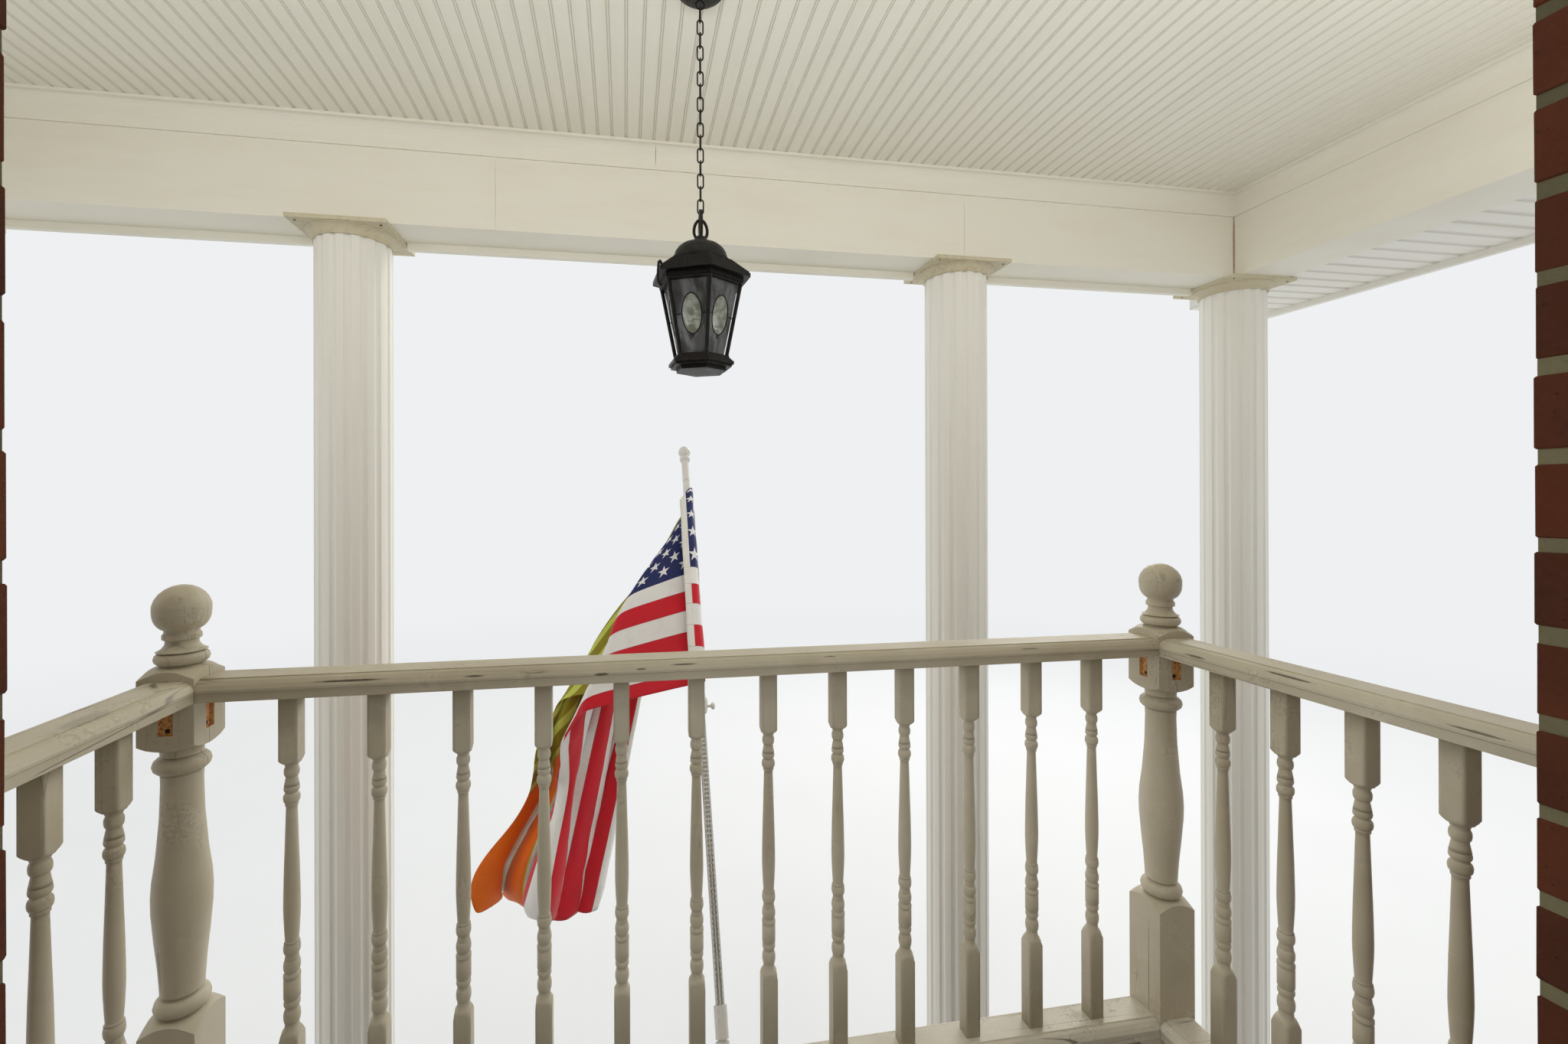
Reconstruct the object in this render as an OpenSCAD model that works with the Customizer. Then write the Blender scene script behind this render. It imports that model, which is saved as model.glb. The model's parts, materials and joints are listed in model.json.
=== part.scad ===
// Two-storey front porch: four fluted columns, a box beam with a gable roof,
// a small railed balcony over the entrance, a hanging lantern and a flagpole.
// Millimetres. The front faces -Y, the house wall stands at +Y, Z is up.

/* [Portico] */
// Outer diameter of a column shaft
col_d = 254; // [200:2:320]
// Height from the slab to the underside of the beam
col_h = 4877; // [4500:1:5400]
// Centre to centre of the two middle columns
mid_bay = 2390; // [2250:10:2700]
// Centre to centre of a middle and an outer column
side_bay = 1390; // [1100:10:1700]
// House wall face to the column centres
portico_d = 2219; // [2050:1:2600]
// Thickness of the ground slab
slab_h = 150; // [100:5:250]
// Number of flutes round a shaft
flute_n = 16; // [12:1:24]
// Depth of a flute
flute_depth = 6; // [3:0.5:8]
// Wall thickness of the extruded shaft
shaft_wall = 12; // [10:1:20]
// Side of the square cap plate
cap_w = 325; // [300:5:380]
// Thickness of the cap plate
cap_t = 14; // [10:1:30]
// Height of the round collar under the cap plate
collar_h = 34; // [20:1:60]

/* [Beam and ceiling] */
// Width of the side beams
beam_w = 240; // [200:5:300]
// Width of the front beam with its frieze board
front_w = 200; // [160:5:260]
// Height of beam face seen below the ceiling
beam_face = 356; // [280:2:450]
// Thickness of the frieze board along the front
frieze_t = 25; // [18:1:40]
// Drop of the frieze board below the beam
frieze_lip = 27; // [0:1:40]
// Thickness of the ceiling panels
ceiling_t = 14; // [10:1:25]
// Spacing of the grooves in the ceiling
bead_pitch = 50.8; // [40:0.1:80]
// Height of the cove trim under the ceiling
cove_h = 91; // [60:1:120]
// Projection of the cove trim
cove_d = 45; // [25:1:80]

/* [Roof] */
// Eave overhang from the beam to the fascia
eave_over = 450; // [300:10:600]
// Overhang of the roof past the front beam
rake_over = 300; // [150:10:450]
// Rise of the roof for each unit of run
roof_slope = 0.5; // [0.3:0.02:0.7]
// Thickness of a roof slope, square to the slope
roof_t = 60; // [40:5:120]
// Soffit to the top of the roof at the eave
fascia_h = 200; // [150:5:260]
// Drop of the fascia below the soffit
fascia_lip = 26; // [0:1:40]
// Thickness of the fascia and rake boards
fascia_t = 25; // [18:1:35]
// Thickness of a soffit panel
soffit_t = 12; // [8:1:20]
// Spacing of the ribs in the vented soffit
rib_pitch = 84.7; // [60:0.1:130]

/* [House wall] */
// Thickness of the house wall
wall_t = 250; // [200:5:350]
// Width of both doorways in the brick
door_w = 984; // [850:2:1250]
// Sideways place of both doorways
door_x = 23; // [-120:1:120]
// Height of the upper doorway above the balcony
door_h = 2060; // [1950:10:2150]
// Height of the lower doorway above the slab
entry_h = 2110; // [1950:10:2250]
// Thickness of the door frame
frame_t = 32; // [25:1:45]

/* [Balcony] */
// Top of the balcony floor above the ground
deck_z = 2824; // [2750:2:2900]
// House wall face to the newel centres
rail_d = 888; // [750:2:1050]
// Centre to centre of the newels
newel_span = 1934; // [1700:2:2100]
// Width of a square newel
newel_w = 86; // [80:1:100]
// Width of a square baluster
bal_w = 30; // [26:1:38]
// Top of the handrail above the balcony floor
rail_h = 914; // [860:1:1000]
// Width of the handrail and the bottom rail
rail_w = 89; // [80:1:100]
// Height of either rail
rail_t = 38; // [32:1:45]
// Space under the bottom rail
rail_gap = 54; // [40:1:90]
// Balusters along the front
bal_front = 12; // [9:1:14]
// Balusters along each side
bal_side = 6; // [4:1:8]
// Width of a floor board
board_w = 138; // [90:1:150]
// Gap between floor boards
board_gap = 5; // [3:0.5:8]
// Thickness of a floor board
board_t = 25; // [20:1:35]
// Height of the rim under the floor
rim_h = 184; // [140:2:240]

/* [Lantern] */
// Sideways place of the ceiling hook
lantern_x = 12; // [-100:1:100]
// House wall face to the ceiling hook
lantern_d = 1315; // [1150:5:1500]
// Height of the lantern without its loop
lantern_h = 342; // [320:2:380]
// Width of the lantern roof across its corners
lantern_w = 270; // [240:2:300]
// Ceiling to the underside of the lantern
lantern_drop = 1007; // [900:5:1150]
// Wire thickness of a chain link
link_wire = 4; // [3:0.1:5]
// Inner length of a chain link
link_in = 34; // [28:1:44]

/* [Flagpole] */
// Length of the flagpole without its ball
pole_len = 1690; // [1400:10:1900]
// Diameter of the upper half of the flagpole
pole_d = 25; // [20:1:32]
// Diameter of the lower half of the flagpole
pole_low_d = 21; // [16:1:26]
// Slope of the flagpole above level
pole_angle = 56.4; // [45:0.1:65]

/* [Hidden] */

$fn = 48;

// Places across the front, and the depth from front to back
col_x = [-mid_bay/2 - side_bay, -mid_bay/2, mid_bay/2, mid_bay/2 + side_bay];
half_w = col_x[3] + beam_w/2;
total_d = wall_t + portico_d - beam_w/2 + front_w + rake_over;
wall_y = total_d/2 - wall_t;
col_y = wall_y - portico_d;
beam_y = col_y + beam_w/2;
front_y = beam_y - front_w;
roof_front = front_y - rake_over;
back_y = wall_y + wall_t;

// Heights
beam_z = slab_h + col_h;
ceiling_z = beam_z + beam_face;
beam_top = ceiling_z;
eave_x = half_w + eave_over + fascia_t;
eave_z = beam_z + fascia_h;
roof_v = roof_t*sqrt(1 + roof_slope*roof_slope);
ridge_z = eave_z + eave_x*roof_slope;
function roof_under(x) = ridge_z - roof_v - abs(x)*roof_slope;

white = "#e9e6dc";
weathered = "#b9ae98";
brick = "#6a3325";

// A box given by its two corners
module span(a, b) {
    translate(a)
        cube(b - a);
}

/* Ground slab and house wall */

plinth_w = 330;
slab_margin = 60;

module porch_slab() {
    reach = plinth_w/2 + slab_margin;
    color("#a9a69e")
        span([col_x[0] - reach, col_y - reach, 0], [col_x[3] + reach, wall_y, slab_h]);
}

// One wall piece: an outline in X and Z, as thick as the wall
module wall_piece(points) {
    color(brick)
        translate([0, back_y, 0])
            rotate([90, 0, 0])
                linear_extrude(wall_t)
                    polygon(points);
}

door_x0 = door_x - door_w/2;
door_x1 = door_x + door_w/2;

module wall_side(side) {
    x = side < 0 ? door_x0 : door_x1;
    wall_piece([[x, 0], [side*half_w, 0], [side*half_w, roof_under(half_w)], [x, roof_under(x)]]);
}

module wall_left() {
    wall_side(-1);
}

module wall_right() {
    wall_side(1);
}

entry_top = slab_h + entry_h;
door_top = deck_z + door_h;

module wall_over_entry() {
    wall_piece([[door_x0, entry_top], [door_x1, entry_top], [door_x1, deck_z], [door_x0, deck_z]]);
}

module wall_over_door() {
    wall_piece([[door_x0, door_top], [door_x1, door_top], [door_x1, roof_under(door_x1)],
        [0, roof_under(0)], [door_x0, roof_under(door_x0)]]);
}

frame_setback = 90;
frame_depth = 120;

// Jambs, head and sill round a doorway
module door_frame(z0, z1) {
    color(white)
        translate([0, wall_y + frame_setback + frame_depth, 0])
            rotate([90, 0, 0])
                linear_extrude(frame_depth)
                    difference() {
                        translate([door_x0, z0])
                            square([door_w, z1 - z0]);
                        translate([door_x0 + frame_t, z0 + frame_t])
                            square([door_w - 2*frame_t, z1 - z0 - 2*frame_t]);
                    }
}

module entry_frame() {
    door_frame(slab_h, entry_top);
}

module balcony_door_frame() {
    door_frame(deck_z, door_top);
}

/* Columns */

base_plate_h = 60;
base_round_h = 70;

module column_base() {
    r = col_d/2;
    translate([-plinth_w/2, -plinth_w/2, 0])
        cube([plinth_w, plinth_w, base_plate_h]);
    translate([0, 0, base_plate_h])
        rotate_extrude()
            polygon(concat([[r - shaft_wall, 0]],
                [for (a = [-90:22.5:90]) [r + 4 + 22*cos(a), 22 + 22*sin(a)]],
                [[r + 6, 44], [r + 6, 50]],
                [for (a = [-60:30:60]) [r + 4 + 10*cos(a), 59 + 10*sin(a)]],
                [[r + 1, base_round_h], [r - shaft_wall, base_round_h]]));
}

module column_bases() {
    color(white)
        for (x = col_x)
            translate([x, col_y, slab_h])
                column_base();
}

// Shaft outline: rounded flutes cut into a round tube
module shaft_outline() {
    r = col_d/2;
    flute_r = 0.36*PI*col_d/flute_n;
    difference() {
        circle(r, $fn = 96);
        for (i = [0:flute_n - 1])
            rotate(360*(i + 0.5)/flute_n)
                translate([r + flute_r - flute_depth, 0])
                    circle(flute_r, $fn = 24);
        circle(r - shaft_wall, $fn = 96);
    }
}

module column_shaft(i) {
    z0 = slab_h + base_plate_h + base_round_h;
    color(white)
        translate([col_x[i], col_y, z0])
            linear_extrude(beam_z - cap_t - z0)
                shaft_outline();
}

// Cap: a square plate on a round collar that sweeps down to the shaft
module column_cap() {
    r = col_d/2 + 0.5;
    reach = cap_w/2 - r - 8;
    translate([-cap_w/2, -cap_w/2, -cap_t])
        cube([cap_w, cap_w, cap_t]);
    translate([0, 0, -cap_t - collar_h])
        rotate_extrude()
            polygon(concat([[r, 0], [r + 5, 0], [r + 7, 3], [r + 5, 6]],
                [for (a = [0:15:90]) [r + 5 + (reach - 5)*(1 - cos(a)), 6 + (collar_h - 9)*sin(a)]],
                [[r + reach, collar_h + 1], [r, collar_h + 1]]));
}

module column_caps() {
    color("#d9d2bd")
        for (x = col_x)
            translate([x, col_y, beam_z])
                column_cap();
}

/* Beam, ceiling and trim */

beam_in = col_x[3] - beam_w/2;

module beam_front() {
    color(white)
        span([-half_w, front_y + frieze_t, beam_z], [half_w, beam_y, beam_top]);
}

module beam_side(side) {
    color(white)
        span([min(side*beam_in, side*half_w), beam_y, beam_z],
            [max(side*beam_in, side*half_w), wall_y, beam_top]);
}

// Board on the outer face of the front beam, notched over the cap plates
module frieze() {
    notch = cap_w + 6;
    color(white)
        difference() {
            span([-half_w, front_y, beam_z - frieze_lip], [half_w, front_y + frieze_t, beam_top]);
            for (x = col_x)
                span([x - notch/2, front_y - 1, beam_z - frieze_lip - 1],
                    [x + notch/2, front_y + frieze_t + 1, beam_z]);
        }
}

bead_w = 7;
bead_depth = 3;

// Ceiling panels with a double groove at every pitch
module ceiling() {
    n = floor((beam_in - 20)/bead_pitch);
    under = [for (i = [-n:n]) each [
        [i*bead_pitch - bead_w, 0], [i*bead_pitch - bead_w/2, bead_depth], [i*bead_pitch, 0.5],
        [i*bead_pitch + bead_w/2, bead_depth], [i*bead_pitch + bead_w, 0]]];
    edge = 40;
    color(white)
        translate([0, wall_y, ceiling_z])
            rotate([90, 0, 0])
                linear_extrude(wall_y - beam_y + edge)
                    polygon(concat([[-beam_in - edge, 0]], under,
                        [[beam_in + edge, 0], [beam_in + edge, ceiling_t], [-beam_in - edge, ceiling_t]]));
}

// Cove profile: x is the projection from the beam, y the drop below the ceiling
function cove_points() = concat([[0, 0], [cove_d, 0], [cove_d, -10]],
    [for (a = [0:15:90]) [cove_d - 5 - (cove_d - 13)*sin(a), -10 - (cove_h - 24)*(1 - cos(a))]],
    [[8, -cove_h], [0, -cove_h]]);

// One mitred length of cove along X, from -len/2 to len/2, with its back on y = 0
module cove_run(len) {
    intersection() {
        rotate([90, 0, 90])
            linear_extrude(len, center = true)
                polygon(cove_points());
        translate([0, 0, -cove_h - 1])
            linear_extrude(cove_h + 2)
                polygon([[-len/2, 0], [len/2, 0], [len/2 - cove_d - 1, cove_d + 1],
                    [-len/2 + cove_d + 1, cove_d + 1]]);
    }
}

module cove_trim() {
    room = wall_y - beam_y;
    color(white)
        translate([0, beam_y + room/2, ceiling_z]) {
            translate([0, -room/2, 0])
                cove_run(2*beam_in);
            translate([0, room/2, 0])
                rotate(180)
                    cove_run(2*beam_in);
            translate([beam_in, 0, 0])
                rotate(90)
                    cove_run(room);
            translate([-beam_in, 0, 0])
                rotate(-90)
                    cove_run(room);
        }
}

tympanum_t = 40;

// Gable wall over the frieze
module tympanum() {
    color(white)
        translate([0, front_y + tympanum_t, 0])
            rotate([90, 0, 0])
                linear_extrude(tympanum_t)
                    polygon([[-half_w, beam_top], [half_w, beam_top], [half_w, roof_under(half_w)],
                        [0, roof_under(0)], [-half_w, roof_under(half_w)]]);
}

/* Roof and eaves */

return_t = 15;

// Soffit panel with ribs running out from the beam
module soffit(side) {
    rib_w = 14;
    rib_h = 5;
    len = back_y - roof_front - fascia_t;
    n = floor(len/rib_pitch) - 1;
    ribs = [for (i = [1:n]) each [
        [i*rib_pitch - rib_w, 0], [i*rib_pitch - rib_w/2, rib_h],
        [i*rib_pitch + rib_w/2, rib_h], [i*rib_pitch + rib_w, 0]]];
    translate([side*(half_w + eave_over/2), roof_front + fascia_t, beam_z])
        rotate([90, 0, 90])
            linear_extrude(eave_over, center = true)
                polygon(concat([[0, 0]], ribs, [[len, 0], [len, soffit_t], [0, soffit_t]]));
}

module soffits() {
    color(white) {
        soffit(-1);
        soffit(1);
    }
}

module fascia(side) {
    translate([side > 0 ? half_w + eave_over : -half_w - eave_over - fascia_t, roof_front + fascia_t,
        beam_z - fascia_lip])
        cube([fascia_t, back_y - roof_front - fascia_t, fascia_h + fascia_lip - roof_v]);
}

module fascias() {
    color(white) {
        fascia(-1);
        fascia(1);
    }
}

// Sloping boards along the front edge of the roof, with an open joint under the ridge
module rake_boards() {
    drop = fascia_h + fascia_lip - roof_v;
    joint = 1;
    color(white)
        for (side = [-1, 1])
            translate([0, roof_front + fascia_t, 0])
                rotate([90, 0, 0])
                    linear_extrude(fascia_t)
                        polygon([[side*joint, roof_under(joint)], [side*eave_x, roof_under(eave_x)],
                            [side*eave_x, roof_under(eave_x) - drop], [side*joint, roof_under(joint) - drop]]);
}

// Boards that close the eave box at the front, behind the rake, and beside the gable
module eave_return(side) {
    x0 = side*half_w;
    x1 = side*(half_w + eave_over);
    z0 = beam_z + soffit_t;
    color(white) {
        for (y = [roof_front + fascia_t + return_t, back_y])
            translate([0, y, 0])
                rotate([90, 0, 0])
                    linear_extrude(return_t)
                        polygon([[x0, z0], [x1, z0], [x1, roof_under(x1)], [x0, roof_under(x0)]]);
        translate([side > 0 ? half_w : -half_w - return_t, roof_front + fascia_t + return_t, z0])
            cube([return_t, rake_over - fascia_t - return_t, roof_under(half_w + return_t) - z0]);
    }
}

module eave_returns() {
    eave_return(-1);
    eave_return(1);
}

module roof_side(side) {
    color("#5c5a57")
        translate([0, back_y, 0])
            rotate([90, 0, 0])
                linear_extrude(back_y - roof_front)
                    polygon([[0, ridge_z], [side*eave_x, eave_z],
                        [side*eave_x, eave_z - roof_v], [0, ridge_z - roof_v]]);
}

/* Balcony */

newel_x = newel_span/2;
newel_y = wall_y - rail_d;
deck_lip = 25;
deck_x = newel_x + newel_w/2 + deck_lip;
deck_front = newel_y - newel_w/2 - deck_lip;
rim_t = 38;

module balcony_frame() {
    color(white)
        difference() {
            span([-deck_x + 12, deck_front + 12, deck_z - board_t - rim_h],
                [deck_x - 12, wall_y, deck_z - board_t]);
            for (i = [-2:1])
                span([i*(deck_x - 12)/2 + rim_t, deck_front + 12 + rim_t, deck_z - board_t - rim_h + 12],
                    [(i + 1)*(deck_x - 12)/2 - (i == 1 ? rim_t : 0), wall_y - rim_t,
                    deck_z - board_t + 1]);
        }
}

module balcony_boards() {
    depth = wall_y - deck_front;
    n = floor((depth + board_gap)/(board_w + board_gap));
    first = depth - n*(board_w + board_gap) + board_gap;
    color("#8a7f6f")
        for (i = [0:n - 1]) {
            y1 = wall_y - i*(board_w + board_gap);
            w = i == n - 1 ? board_w + first - board_gap : board_w;
            span([-deck_x, y1 - w, deck_z - board_t], [deck_x, y1, deck_z]);
        }
}

// Points of a bead or torus: centre height z, outer radius r, half height h
function bead(z, r, h) = [for (a = [90:-30:-90]) [r - h + h*cos(a), z + h*sin(a)]];

// A profile drawn at one size, widened by kr and stretched by kz
function stretched(profile, kr, kz) = [for (p = profile) [kr*p.x, kz*p.y]];

// A turned post: the profile, top to bottom, where the widest radius leaves the square
module turned_post(w, profile) {
    top = profile[0].y;
    foot = profile[len(profile) - 1].y;
    intersection() {
        rotate_extrude()
            polygon(concat([[0, top]], profile, [[0, foot]]));
        translate([-w/2, -w/2, foot])
            cube([w, w, top - foot]);
    }
}

// The newel as drawn: its width, and the handrail's top above the floor
newel_drawn = [86, 914];

// Ball, neck and ring, then the upper block, the vase shaft and the lower block
newel_profile = concat(
    [for (a = [85:-15:-55]) [41.5*cos(a), 1031 + 41.5*sin(a)]],
    [[25, 990], [27.6, 987], [27.6, 980], [23, 977], [24, 970], [29, 963], [36, 959]],
    bead(947, 39, 11),
    [[36, 932], [40, 932], [45, 929], [52, 923], [64, 915], [64, 809], [52, 801], [43, 797], [31, 795],
    [30, 781]],
    bead(765, 41, 14),
    [[30, 748], [29.4, 733], [31, 675], [36, 610], [41, 570], [42.5, 543], [42, 515], [38, 465],
    [34, 425], [31.5, 387], [31, 375]],
    bead(354, 40, 15),
    [[34, 338], [40, 337], [45, 334], [52, 328], [64, 318], [64, 0]]);

module newel() {
    turned_post(newel_w, stretched(newel_profile, newel_w/newel_drawn.x, rail_h/newel_drawn.y));
}

slot_w = 22;
slot_h = 52;
slot_deep = 6;

// A newel with two bare slots under the handrails: towards the house and towards the middle
module newel_at(side) {
    z = rail_h - rail_t - slot_h;
    color(weathered)
        translate([side*newel_x, newel_y, deck_z])
            difference() {
                newel();
                translate([-slot_w/2, newel_w/2 - slot_deep, z])
                    cube([slot_w, slot_deep + 1, slot_h]);
                translate([side > 0 ? -newel_w/2 - 1 : newel_w/2 - slot_deep, -slot_w/2, z])
                    cube([slot_deep + 1, slot_w, slot_h]);
            }
}

// Rail section, with the middle of its top at the origin
function rail_half() = [[0.62, 0], [0.62, -2], [0.66, -2.6], [0.70, -2], [0.80, -4], [0.92, -10],
    [1, -17], [1, -21], [0.95, -23], [0.95, -rail_t]];

module rail_section() {
    half = [for (p = rail_half()) [p[0]*rail_w/2, p[1]]];
    polygon(concat(half, [for (i = [len(half) - 1:-1:0]) [-half[i][0], half[i][1]]]));
}

// A rail from a to b, level, with the middle of its top on the line
module rail(a, b) {
    d = b - a;
    color(weathered)
        translate(a)
            rotate([0, 0, atan2(d.y, d.x)])
                rotate([90, 0, 90])
                    linear_extrude(norm(d))
                        rail_section();
}

module rail_front(z) {
    x = newel_x - newel_w/2;
    rail([-x, newel_y, z], [x, newel_y, z]);
}

// Side rails, notched where a rail wider than the newel would meet the front one
module side_rails(z) {
    reach = rail_w/2 + 1;
    for (side = [-1, 1])
        difference() {
            rail([side*newel_x, wall_y, z], [side*newel_x, newel_y + newel_w/2, z]);
            span([side > 0 ? newel_x - reach : newel_w/2 - newel_x, newel_y, z - rail_t - 1],
                [side > 0 ? newel_x - newel_w/2 : reach - newel_x, newel_y + reach, z + 1]);
        }
}

hand_z = deck_z + rail_h;
shoe_z = deck_z + rail_gap + rail_t;
bal_len = rail_h - rail_t - rail_gap - rail_t;

// The baluster as drawn: its width, and its length from the handrail down to the bottom rail
bal_drawn = [30, 784];

baluster_profile = concat(
    [[22, 784], [22, 668], [15, 660], [9, 657]],
    bead(642, 11, 7),
    [[9.2, 624]],
    bead(609, 11.4, 7),
    bead(595, 12, 5),
    [[9.3, 587], [9.4, 539], [11, 474], [13, 414], [13.5, 384], [12.5, 364], [9.8, 348]],
    bead(338, 12.2, 7),
    [[10.4, 310]],
    bead(293, 13, 6),
    [[11, 284], [13.4, 281], [13.4, 254], [11, 248], [10.8, 239]],
    bead(226, 12.7, 7),
    [[10.6, 216]],
    bead(207, 12.7, 6),
    [[9.5, 196], [9.5, 188], [15, 183], [22, 173], [22, 0]]);

module baluster() {
    turned_post(bal_w, stretched(baluster_profile, bal_w/bal_drawn.x, bal_len/bal_drawn.y));
}

// Balusters with equal clear gaps between a and b
module baluster_row(a, b, n) {
    d = b - a;
    gap = (norm(d) - n*bal_w)/(n + 1);
    color(weathered)
        for (i = [0:n - 1])
            translate(a + d*(gap*(i + 1) + bal_w*(i + 0.5))/norm(d))
                baluster();
}

module balusters_front() {
    x = newel_x - newel_w/2;
    baluster_row([-x, newel_y, shoe_z], [x, newel_y, shoe_z], bal_front);
}

module side_balusters() {
    for (side = [-1, 1])
        baluster_row([side*newel_x, wall_y, shoe_z], [side*newel_x, newel_y + newel_w/2, shoe_z], bal_side);
}

/* Lantern */

hook_r = 11;
canopy_r = 62;
canopy_h = 26;
lantern_y = wall_y - lantern_d;
hook_z = ceiling_z - canopy_h - hook_r - link_wire;
link_gap = 0.3;
link_pitch = link_in - link_gap;
link_w = 19;
lantern_top = ceiling_z - lantern_drop + lantern_h;
iron = "#24211f";

// A link: two half rings joined by straight wires, hung from the middle of its top inside
module link(inner, width, wire) {
    r = width/2 - wire/2;
    straight = inner - 2*(r - wire/2);
    for (s = [1, -1])
        translate([0, 0, -inner/2 + s*straight/2])
            rotate([90, s > 0 ? 0 : 180, 0])
                rotate_extrude(angle = 180)
                    translate([r, 0])
                        circle(wire/2, $fn = 16);
    for (s = [1, -1])
        translate([s*r, 0, -inner/2 - straight/2])
            cylinder(h = straight, d = wire, $fn = 16);
}

module lantern_canopy() {
    color(iron)
        translate([lantern_x, lantern_y, ceiling_z]) {
            rotate_extrude()
                polygon(concat([[0, 0], [canopy_r, 0], [canopy_r, -5]],
                    [for (a = [0:22.5:90]) [12 + (canopy_r - 16)*cos(a), -5 - (canopy_h - 9)*sin(a)]],
                    [[0, 4 - canopy_h]]));
            translate([0, 0, hook_z - ceiling_z + hook_r - 2])
                cylinder(h = 12, d = 2*link_wire);
            translate([0, 0, hook_z - ceiling_z])
                rotate([90, 0, 0])
                    rotate_extrude()
                        translate([hook_r, 0])
                            circle(link_wire/2, $fn = 16);
        }
}

chain_top = hook_z - hook_r + link_wire/2 + link_gap;
loop_t = 8;
link_hole_r = link_w/2 - link_wire;
loop_seat = link_hole_r - sqrt(link_hole_r*link_hole_r - loop_t*loop_t/4);
neck_h = 14;
chain_n = floor((chain_top - lantern_top - 52)/link_pitch);
loop_top = chain_top - chain_n*link_pitch;
loop_h = loop_top - lantern_top;

module lantern_chain() {
    color(iron)
        for (i = [0:chain_n - 1])
            translate([lantern_x, lantern_y, chain_top - i*link_pitch])
                rotate([0, 0, i % 2 == 0 ? 90 : 0])
                    link(link_in, link_w, link_wire);
}

// Heights below the top of the dome
dome_h = 56;
roof_edge = 104;
cage_top = 116;
cage_low = 304;
cage_turn = 5.3;
eave_r = lantern_w/2;
cage_top_r = 0.42*lantern_w;
cage_low_r = 0.275*lantern_w;

// Places the children on the lantern's axis, one corner turned towards the house
module at_lantern(z) {
    translate([lantern_x, lantern_y, lantern_top - z])
        rotate(90 + cage_turn)
            children();
}

lap = 0.5;

// Six-sided steps below the height z, each a height and a radius, that overlap by a little
module hex_steps(z, steps) {
    for (i = [0:len(steps) - 1])
        at_lantern(z + sum_first(steps, i + 1))
            cylinder(h = steps[i][0] + lap, r = steps[i][1], $fn = 6);
}

function sum_first(steps, n) = n == 0 ? 0 : steps[n - 1][0] + sum_first(steps, n - 1);

// Egg-shaped loop that sits in the last link, its foot inside the neck
module cast_loop() {
    half = (loop_h + loop_seat)/2;
    difference() {
        polygon([for (a = [0:15:345]) [21*cos(a), half + 3 + (half + 5)*sin(a)]]);
        polygon([for (a = [0:18:342]) [(12 - 2*sin(a))*cos(a), half + 8 + (half - 8)*sin(a)]]);
    }
}

// Hanging loop, dome and six-sided roof
module lantern_roof() {
    color(iron) {
        translate([lantern_x, lantern_y, lantern_top])
            rotate([90, 0, chain_n % 2 == 0 ? 90 : 0])
                linear_extrude(loop_t, center = true)
                    cast_loop();
        at_lantern(dome_h)
            rotate_extrude()
                polygon(concat([[0, 0], [78, 0], [78, 4], [73, 6], [71, 8]],
                    [for (a = [10:16:74]) [30 + 41*cos(a), 8 + 42*sin(a)]],
                    [[26, dome_h - 3], [18, dome_h + 4], [15, dome_h + neck_h - 2], [0, dome_h + neck_h]]));
        hex_steps(dome_h, [for (i = [0:7]) [(roof_edge - 10 - dome_h)/8, 88 + (eave_r - 92)*i/7],
            [10, eave_r], [cage_top - roof_edge, cage_top_r + 3]]);
    }
}

bar = 5;
ring_h = 6;

// Six corner bars, the ring that joins their tops and the flared base
module lantern_cage() {
    run = cage_top_r - cage_low_r;
    rise = cage_low - cage_top;
    color(iron) {
        for (i = [0:5])
            at_lantern(cage_low + 4)
                rotate(60*i)
                    translate([cage_low_r - bar, 0, 0])
                        rotate([0, atan(run/rise), 0])
                            cylinder(h = (rise + 3)/cos(atan(run/rise)), r = bar, $fn = 16);
        at_lantern(cage_top + ring_h)
            difference() {
                cylinder(h = ring_h, r = cage_top_r, $fn = 6);
                translate([0, 0, -1])
                    cylinder(h = ring_h + 2, r = cage_top_r - 3*bar, $fn = 6);
            }
        hex_steps(cage_low, [[6, cage_low_r + 3], [4, cage_low_r + 7], [4, cage_low_r + 11], [8, cage_low_r + 16],
            [6, cage_low_r + 10], [lantern_h - cage_low - 28, cage_low_r - 6]]);
    }
}

module lantern_glass() {
    inset = 2*bar + 1.5;
    glass_t = 3;
    h = cage_low - cage_top - ring_h - lap;
    color("#cfd8d6", 0.4)
        at_lantern(cage_low - lap)
            difference() {
                cylinder(h = h, r1 = cage_low_r - inset, r2 = cage_top_r - inset, $fn = 6);
                translate([0, 0, -1])
                    cylinder(h = h + 2, r1 = cage_low_r - inset - glass_t,
                        r2 = cage_top_r - inset - glass_t, $fn = 6);
            }
}

module lantern_candle() {
    sleeve_h = 76;
    color("#e8dcc0")
        at_lantern(cage_low - lap) {
            cylinder(h = sleeve_h, d = 24);
            translate([0, 0, sleeve_h])
                rotate_extrude()
                    polygon(concat([[0, 0], [9, 0], [10, 8]],
                        [for (a = [-40:20:60]) [17*cos(a), 34 + 20*sin(a)]],
                        [[5, 62], [2, 78], [0, 84]]));
        }
}

/* Flagpole and flags */

rim_y = deck_front + 12;
plate_t = 8;
// Place of the pole's lower end, in the bracket's socket
pole_foot = [0, rim_y - 42, deck_z - 55];
ball_d = 43;
socket_len = 92;
joint_s = 830;

// Places the children on the pole axis, s along it from the foot
module along_pole(s) {
    translate(pole_foot)
        rotate([90 - pole_angle, 0, 0])
            translate([0, 0, s])
                children();
}

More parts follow.
